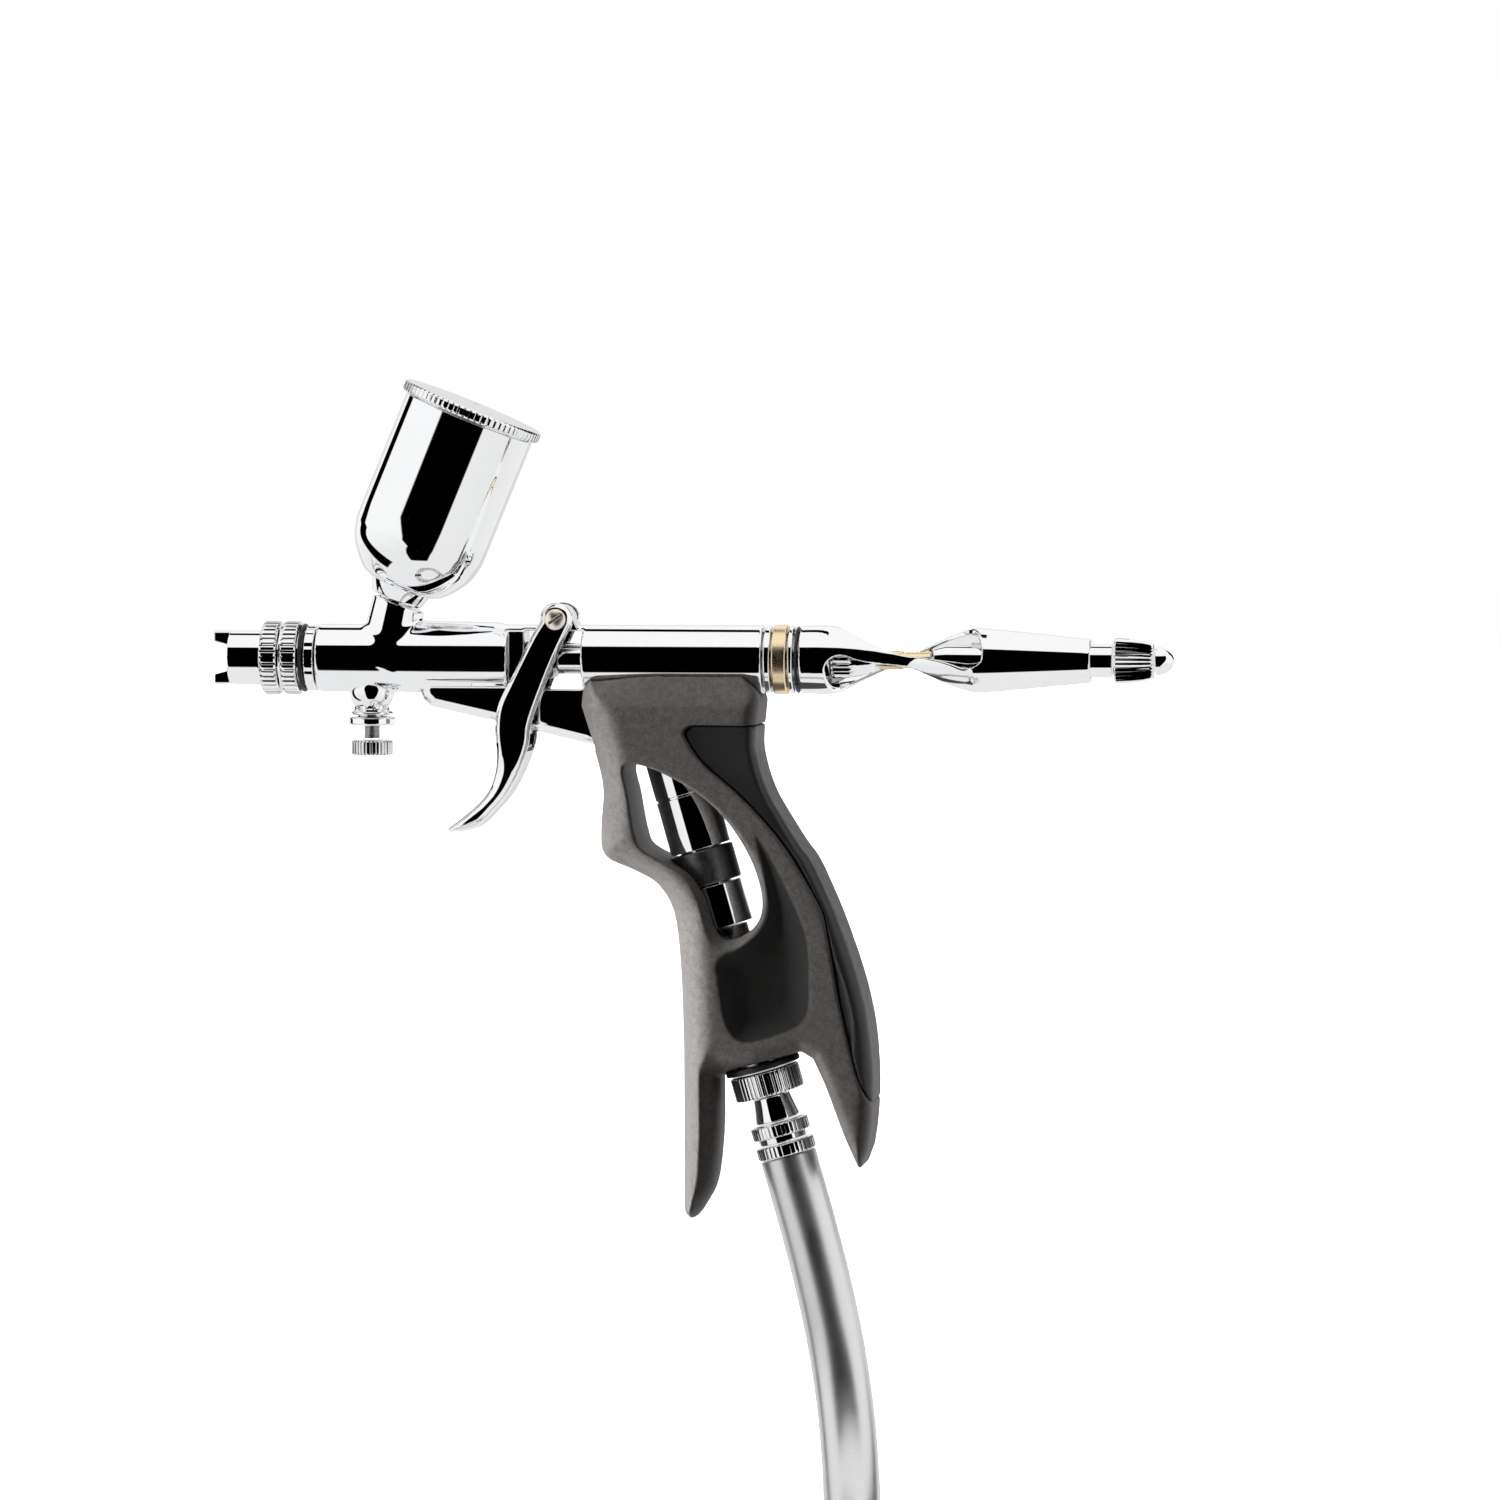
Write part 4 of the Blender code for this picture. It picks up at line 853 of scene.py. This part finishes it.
def make_grip():
    def grip(x, y, z):
        g = GripField(x, y, z)
        body = g.envelope()
        rim_width = 0.3 + 1.35 * (np.clip((-z - 24.0) / 20.0, 0, 1)
                                  * np.clip((x + 15.0) / 7.0, 0, 1))
        rim = (rim_width - (g.window + 1.15 * g.depth)) * 0.62
        body = smooth_max(body, rim, 0.25)
        body = smooth_max(body, -g.window, 0.3)
        inward = np.clip(-g.hollow / 5.0, 0, 1)
        dish = 1.5 * (1 - (1 - inward) ** 2)
        body = smooth_max(body, (dish - g.depth) * 0.95 - 0.02 + 0 * x, 0.25)
        body = smooth_max(body, -np.maximum(g.strap - 0.15,
                                            np.minimum(g.depth, -g.outline) - 2.0), 0.15)
        body = smooth_max(body, 6.25 - radial(y, z), 0.15)
        arm_seat = np.maximum(outside(x, -36.0, -23.7),
                              np.maximum(np.abs(y) - ARM_HALF - 0.35, -15.9 - z))
        body = smooth_max(body, -arm_seat, 0.15)
        dx, dz = x - INLET_BASE[0], z - INLET_BASE[2]
        along = dx * INLET_AXIS[0] + dz * INLET_AXIS[2]
        off = dx * INLET_AXIS[2] - dz * INLET_AXIS[0]
        bore_r = np.where(along < -26.6, TUBE_R + 0.45, 4.8)
        bore = np.maximum(radial(off, y) - bore_r, -62.3 - along)
        return smooth_max(body, -bore, 0.15)

    def strap(x, y, z):
        g = GripField(x, y, z)
        body = g.envelope()
        skin = np.minimum(g.depth, -g.outline) - 1.7
        body = smooth_max(body, skin, 0.15)
        sunk = 0.7 * np.clip(-g.strap_face / 0.9, 0, 1)
        body = smooth_max(body, (sunk - g.depth) * 0.95, 0.25)
        return smooth_max(body, g.strap, 0.45)

    piece = sculpted("grip_frame", grip, (-32.4, -9.0, -98.8), (20.2, 9.0, -2.6), 0.32,
                     material="grip_metal")
    # Painted shade in the palm hollows, darkening the grip's colour there.
    paint_hollow_shade(piece)
    sculpted("back_strap", strap, (-13.2, -9.0, -78.8), (20.2, 9.0, -11.2), 0.3,
            material="rubber")


def paint_hollow_shade(piece):
    """Marks the palm hollows for painted shade: there the colour is darkened to stand in for the
    hollows' shadow.
    """
    mesh = piece.data
    co = np.zeros(len(mesh.vertices) * 3)
    mesh.vertices.foreach_get("co", co)
    co = co.reshape(-1, 3) / MM
    x, z = co[:, 0], co[:, 2] - AXIS_Z
    inside = outline_distance(spline(HOLLOW, 3, loop=True), x, z)
    on_side = np.abs(co[:, 1]) > 5.5
    shade = np.clip(0.5 - inside / 0.5, 0, 1) * on_side
    painted_hollow_shade = mesh.attributes.new("painted_hollow_shade", "FLOAT", "POINT")
    painted_hollow_shade.data.foreach_set("value", shade.astype(np.float32))


# ---- inlet and hose

def along_inlet(distance):
    return np.array(INLET_BASE) + distance * np.array(INLET_AXIS)


def make_inlet():
    def inlet(name, profile, finish="chrome", **more):
        turned(name, profile, INLET_BASE, INLET_AXIS, material=finish, **more)

    inlet("air_tube", [(-62, 2.2), (-62.0, TUBE_R), (-52.9, TUBE_R), (-52.9, TUBE_R - 0.25),
            (-52.5, TUBE_R - 0.25), (-52.5, TUBE_R), (-42.9, TUBE_R), (-42.9, 3.7), (-33, 3.7),
            (-33, 2.2)])
    inlet("tube_collar", ring(-42.6, -36.4, 4.0, TUBE_R + 0.2, 0.2), "collar_metal")
    inlet("lower_tube", [(-36.1, 4), (-36.1, TUBE_R), (-28.6, TUBE_R), (-28.6, 2.2), (-32.7, 2.2),
            (-32.7, 4)])
    inlet("inlet_stem", ring(-28.3, -2.6, 1.5, 4.3), "steel")
    inlet("inlet_boot", [(-3.7, 4.6), (-3.7, 6.5), (-3.4, 6.7), (-2.8, 6.7), (-2.6, 6.5),
            (-2.6, 4.6)], "rubber")
    inlet("inlet_nut", ring(-2.3, 2.1, 2.6, 6.2, 0.3), ribs=(44, 0.42, -2.1, 1.95, "rib"))
    inlet("inlet_plug", [(-2.3, 1.2), (-2.3, 2.3), (2.4, 2.3), (2.4, 3.3), (4.4, 3.6), (6.4, 4),
            (6.7, 4), (6.7, 1.2)])
    inlet("coupler_body", ring(7.0, 10.5, 1.2, 4.4))
    inlet("coupler_sleeve", ring(7.2, 9.5, 4.7, 5.2, 0.2), ribs=(34, 0.3, 7.25, 9.45, "rib"),
            body="coupler_sleeve")
    inlet("hose_collar", [(10.8, 1.2), (10.8, 5), (11, 5.25), (12.9, 5.25), (13.1, 5),
            (13.1, 1.2)], ribs=(34, 0.35, 10.9, 13.0, "rib"))


HOSE_R = 5.0
COIL_X, COIL_Y = -26.5, -42.0
COIL_BASE = FLOOR_Z + 1.2
HOSE_BEND = 42.0
HOSE_START, STRAIGHT_END = 13.4, 24.0       # along the inlet's axis
HOSE_STEP = 1.6                             # between the centre line's points
COIL_SLOTS = ((45, 25), (55, 25), (55, 15), (45, 15), (45, 5),
              (55, 5))
# Where on each turn the hose moves over to the next place in the coil, in degrees.
COIL_MOVES = ((240, 359), (190, 270), (108, 236), (56, 140), (0, 118))
FERRULE_AXIS_Z = FLOOR_Z + 7.3
FERRULE_Y = COIL_Y - 36.4


def hose_route():
    """The hose's centre line: down from the collar, round the bend and into its coil."""
    bend_start = COIL_BASE + COIL_SLOTS[0][1] + HOSE_BEND
    straight_end = along_inlet(STRAIGHT_END)
    drop = straight_end[2] - bend_start
    points = [tuple(along_inlet(d)) for d in np.arange(HOSE_START, STRAIGHT_END, 1.0)]
    run = drop + HOSE_BEND * math.pi / 2
    slope = math.tan(INLET_TILT)
    for gone in np.linspace(0, run, 60):
        s = gone / run
        x = ((1 + 2 * s) * (1 - s) ** 2 * straight_end[0] + s * (1 - s) ** 2 * run * slope
             + s * s * (3 - 2 * s) * (COIL_X + COIL_SLOTS[0][0]))
        a = max(0.0, gone - drop) / HOSE_BEND
        points.append((x, -HOSE_BEND * (1 - math.cos(a)),
                       straight_end[2] - min(gone, drop) - HOSE_BEND * math.sin(a)))
    for k, ((leave, arrive), here, there) in enumerate(
            zip(COIL_MOVES, COIL_SLOTS, COIL_SLOTS[1:])):
        for degree in range(0 if k else 2, 360, 2):
            share = np.clip((degree - leave) / (arrive - leave), 0, 1)
            ease = 0.5 - 0.5 * math.cos(math.pi * share)
            radius = here[0] + (there[0] - here[0]) * ease
            height = here[1] + (there[1] - here[1]) * ease
            a = math.radians(degree)
            points.append((COIL_X + radius * math.cos(a), COIL_Y - radius * math.sin(a),
                           COIL_BASE + height))
    run = np.linspace(0, 1, 20)
    rise = (FERRULE_AXIS_Z - COIL_BASE - COIL_SLOTS[-1][1]) * (0.5 - 0.5 * np.cos(math.pi * run))
    for share, up in zip(run, rise):
        points.append((COIL_X + COIL_SLOTS[-1][0], COIL_Y + (FERRULE_Y - COIL_Y) * share,
                       COIL_BASE + COIL_SLOTS[-1][1] + up))
    return np.array(points)


def even_steps(points, step):
    """The same line with points a fixed distance apart."""
    gone = np.concatenate([[0], np.cumsum(np.linalg.norm(np.diff(points, axis=0), axis=1))])
    keep = np.concatenate([[True], np.diff(gone) > 1e-6])
    points, gone = points[keep], gone[keep]
    count = int(round(gone[-1] / step))
    at = np.linspace(0, gone[-1], count)
    return np.stack([np.interp(at, gone, points[:, i]) for i in range(3)], 1), gone[-1]


def make_hose():
    route, length = even_steps(hose_route(), HOSE_STEP)
    hose = swept("hose", route, HOSE_R, 40, material="hose",
                 nodes=["hose", "hose_coil"])
    base = (COIL_X + COIL_SLOTS[-1][0], FERRULE_Y, FERRULE_AXIS_Z)
    toward = (0.0, -1.0, 0.0)
    ferrule = turned("hose_end_ferrule", [
        (0, 1.5), (0, 5.4), (0.3, 5.7), (8.7, 5.7), (9, 5.4), (9, 3.2), (18, 3.2),
        (18, 1.5)], base, toward)
    nut = turned("hose_end_nut", [
        (9.4, 3.5), (9.4, 6.7), (9.8, 7.1), (19.6, 7.1), (20, 6.7), (20, 5.2),
        (18.4, 5.2), (18.4, 3.5)], base, toward, ribs=(24, 0.5, 11.0, 18.5, "rib"),
        body="hose_nut")

    centre = (COIL_X - 50.0, COIL_Y)        # of the tie

    def tie(x, y, z):
        u = np.abs(x - centre[0])
        w = np.abs(z - (COIL_BASE + 15.1))
        skin = radial(np.maximum(u - 9.0, 0), np.maximum(w - 13.4, 0))
        band = smooth_max(smooth_max(skin - 2.85, 1.95 - skin, 0.15),
                          np.abs(y - centre[1]) - 6.0, 0.5)
        grooves = np.abs((y - centre[1] + 1.0) % 2.0 - 1.0) - 0.3
        return smooth_max(band, -np.maximum(grooves, 2.55 - skin), 0.2)

    band = sculpted("coil_tie", tie, (centre[0] - 12.2, centre[1] - 6.2, FLOOR_Z),
                    (centre[0] + 12.2, centre[1] + 6.2, COIL_BASE + 31.8), 0.3,
                    material="seal", slot="rubber")
    path = to_world(route)


# ---- stage, light, camera

def make_stage():
    mesh = bpy.data.meshes.new("floor")
    size, z = 6.0, FLOOR_Z * MM + AXIS_Z * MM       # in metres
    mesh.from_pydata([(-size, -size, z), (size, -size, z), (size, size, z), (-size, size, z)],
                     [], [(0, 1, 2, 3)])
    mat = bpy.data.materials.new("floor")
    mat.use_nodes = True
    nodes = Nodes(mat.node_tree)
    place = nodes.add("ShaderNodeTexCoord").outputs["Object"]
    grain = nodes.add("ShaderNodeTexNoise", {"Vector": place, "Scale": 3.0}).outputs[0]
    rough = nodes.span(grain, 0.3, 0.7, 0.85, 0.95)
    shader = nodes.add("ShaderNodeBsdfPrincipled", {"Base Color": (0.93, 0.93, 0.93, 1),
                                                    "Roughness": rough})
    nodes.finish("ShaderNodeOutputMaterial", shader)
    mesh.materials.append(mat)
    floor = bpy.data.objects.new("floor", mesh)
    bpy.context.scene.collection.objects.link(floor)
    floor.visible_glossy = False
    floor.visible_diffuse = False


RAMP_REACH = 60.0               # degrees up and down that an edge line covers


def edge_line(nodes, height, stops):
    """Azimuth of a flag's side as a function of elevation, both in degrees."""
    ramp = nodes.add("ShaderNodeValToRGB",
                     {"Fac": nodes.span(height, -RAMP_REACH, RAMP_REACH, 0.0, 1.0)})
    elements = ramp.color_ramp.elements
    elements[0].position = (stops[0][0] + RAMP_REACH) / (2 * RAMP_REACH)
    elements[1].position = (stops[-1][0] + RAMP_REACH) / (2 * RAMP_REACH)
    for elevation, _ in stops[1:-1]:
        elements.new((elevation + RAMP_REACH) / (2 * RAMP_REACH))
    for element, (_, azimuth) in zip(elements, stops):
        level = (azimuth + 180) / 360
        element.color = (level, level, level, 1)
    return nodes.span(ramp.outputs[0], 0.0, 1.0, -180.0, 180.0)


def make_light():
    """A white studio. Chrome also sees black flags in it, as crisp dark bands, and matt
    surfaces are lit by soft boxes from the left, the right rear and above."""
    world = bpy.data.worlds.new("studio")
    bpy.context.scene.world = world
    world.use_nodes = True
    nodes = Nodes(world.node_tree)
    way = nodes.add("ShaderNodeTexCoord").outputs["Generated"]
    split = nodes.add("ShaderNodeSeparateXYZ", {"Vector": way}).outputs
    turn = nodes.math("ARCTAN2", split[0], nodes.math("MULTIPLY", split[1], -1.0))
    azimuth = nodes.math("SUBTRACT", nodes.math("MULTIPLY", turn, 180 / math.pi),
                         CAMERA_AZIMUTH)
    height = nodes.math("MULTIPLY", nodes.math("ARCSINE", split[2]), 180 / math.pi)

    left = edge_line(nodes, height, [(-50, -20), (-7, -33), (12, -46), (46, -66)])
    right = edge_line(nodes, height, [(-50, 12), (-13, 30), (10.6, 45), (46, 60)])
    flag = nodes.math("MULTIPLY",
                      nodes.span(nodes.math("SUBTRACT", azimuth, left), -1.2, 1.2, 0, 1, True),
                      nodes.span(nodes.math("SUBTRACT", right, azimuth), -1.2, 1.2, 0, 1, True),
                      nodes.near(height, 0.0, 43.0, 45.0))
    leaning = nodes.math("SUBTRACT", nodes.math("MULTIPLY", height, -0.8), 118.0)
    strip = nodes.math("MULTIPLY", nodes.near(azimuth, leaning, 9.5, 11.5),
                       nodes.span(height, -46.0, -44.0, 0, 1, True))
    behind = nodes.math("MULTIPLY",
                        nodes.span(nodes.math("ABSOLUTE", azimuth), 148.0, 153.0, 0, 0.22, True),
                        nodes.near(height, 0.0, 24.0, 27.0))
    rear = nodes.math("MULTIPLY", nodes.near(azimuth, 132.0, 17.0, 19.0),
                      nodes.span(height, 5.0, 7.0, 0, 1, True),
                      nodes.span(height, 44.0, 46.0, 1, 0, True))
    dark = nodes.math("MAXIMUM", flag, strip, behind, rear)
    low = nodes.span(height, -30.0, 10.0, 0.86, 1.0, True)
    glossy = nodes.math("MULTIPLY", low, nodes.math("SUBTRACT", 1.0, dark))

    boxes_high = nodes.near(height, 0.0, 35.0, 60.0)
    above = nodes.span(height, 40.0, 60.0, 0.0, 1.9, True)
    side = nodes.math("MULTIPLY", nodes.near(azimuth, -100.0, 14.0, 36.0, 21.0), boxes_high)
    rim = nodes.math("MULTIPLY", nodes.near(azimuth, 120.0, 15.0, 45.0, 3.0), boxes_high)
    soft = nodes.math("ADD", above, side, rim, 0.02)

    rays = nodes.add("ShaderNodeLightPath").outputs
    level = nodes.math("ADD", nodes.math("MULTIPLY", glossy, rays["Is Glossy Ray"]),
                       nodes.math("MULTIPLY", soft, rays["Is Diffuse Ray"]),
                       rays["Is Camera Ray"])
    nodes.finish("ShaderNodeOutputWorld", nodes.add(
        "ShaderNodeBackground", {"Color": (1.0, 1.0, 1.0, 1.0), "Strength": level}))


CAMERA_AZIMUTH = 7.5            # degrees round from straight in front
CAMERA_ELEVATION = 2.7
CAMERA_DISTANCE = 1.1           # in metres, as the target is
CAMERA_TARGET = (-0.0026, 0.0, 0.0371)
SENSOR_WIDTH, FOCAL_LENGTH = 36.0, 150.2


def make_camera():
    azimuth, elevation = math.radians(CAMERA_AZIMUTH), math.radians(CAMERA_ELEVATION)
    toward = Vector((math.sin(azimuth) * math.cos(elevation),
                     -math.cos(azimuth) * math.cos(elevation), math.sin(elevation)))
    data = bpy.data.cameras.new("camera")
    data.sensor_width, data.lens = SENSOR_WIDTH, FOCAL_LENGTH
    data.clip_start, data.clip_end = 0.05, 50.0
    camera = bpy.data.objects.new("camera", data)
    camera.location = Vector(CAMERA_TARGET) + toward * CAMERA_DISTANCE
    camera.rotation_euler = toward.to_track_quat("Z", "Y").to_euler()
    bpy.context.scene.collection.objects.link(camera)
    bpy.context.scene.camera = camera
    bpy.context.scene.view_settings.view_transform = "Standard"


make_materials()
make_camera()
make_stage()
make_light()
make_head()
make_cup()
make_air_screw()
make_barrel()
make_trigger()
make_needle_group()
make_tail()
make_preset()
make_grip()
make_inlet()
make_hose()
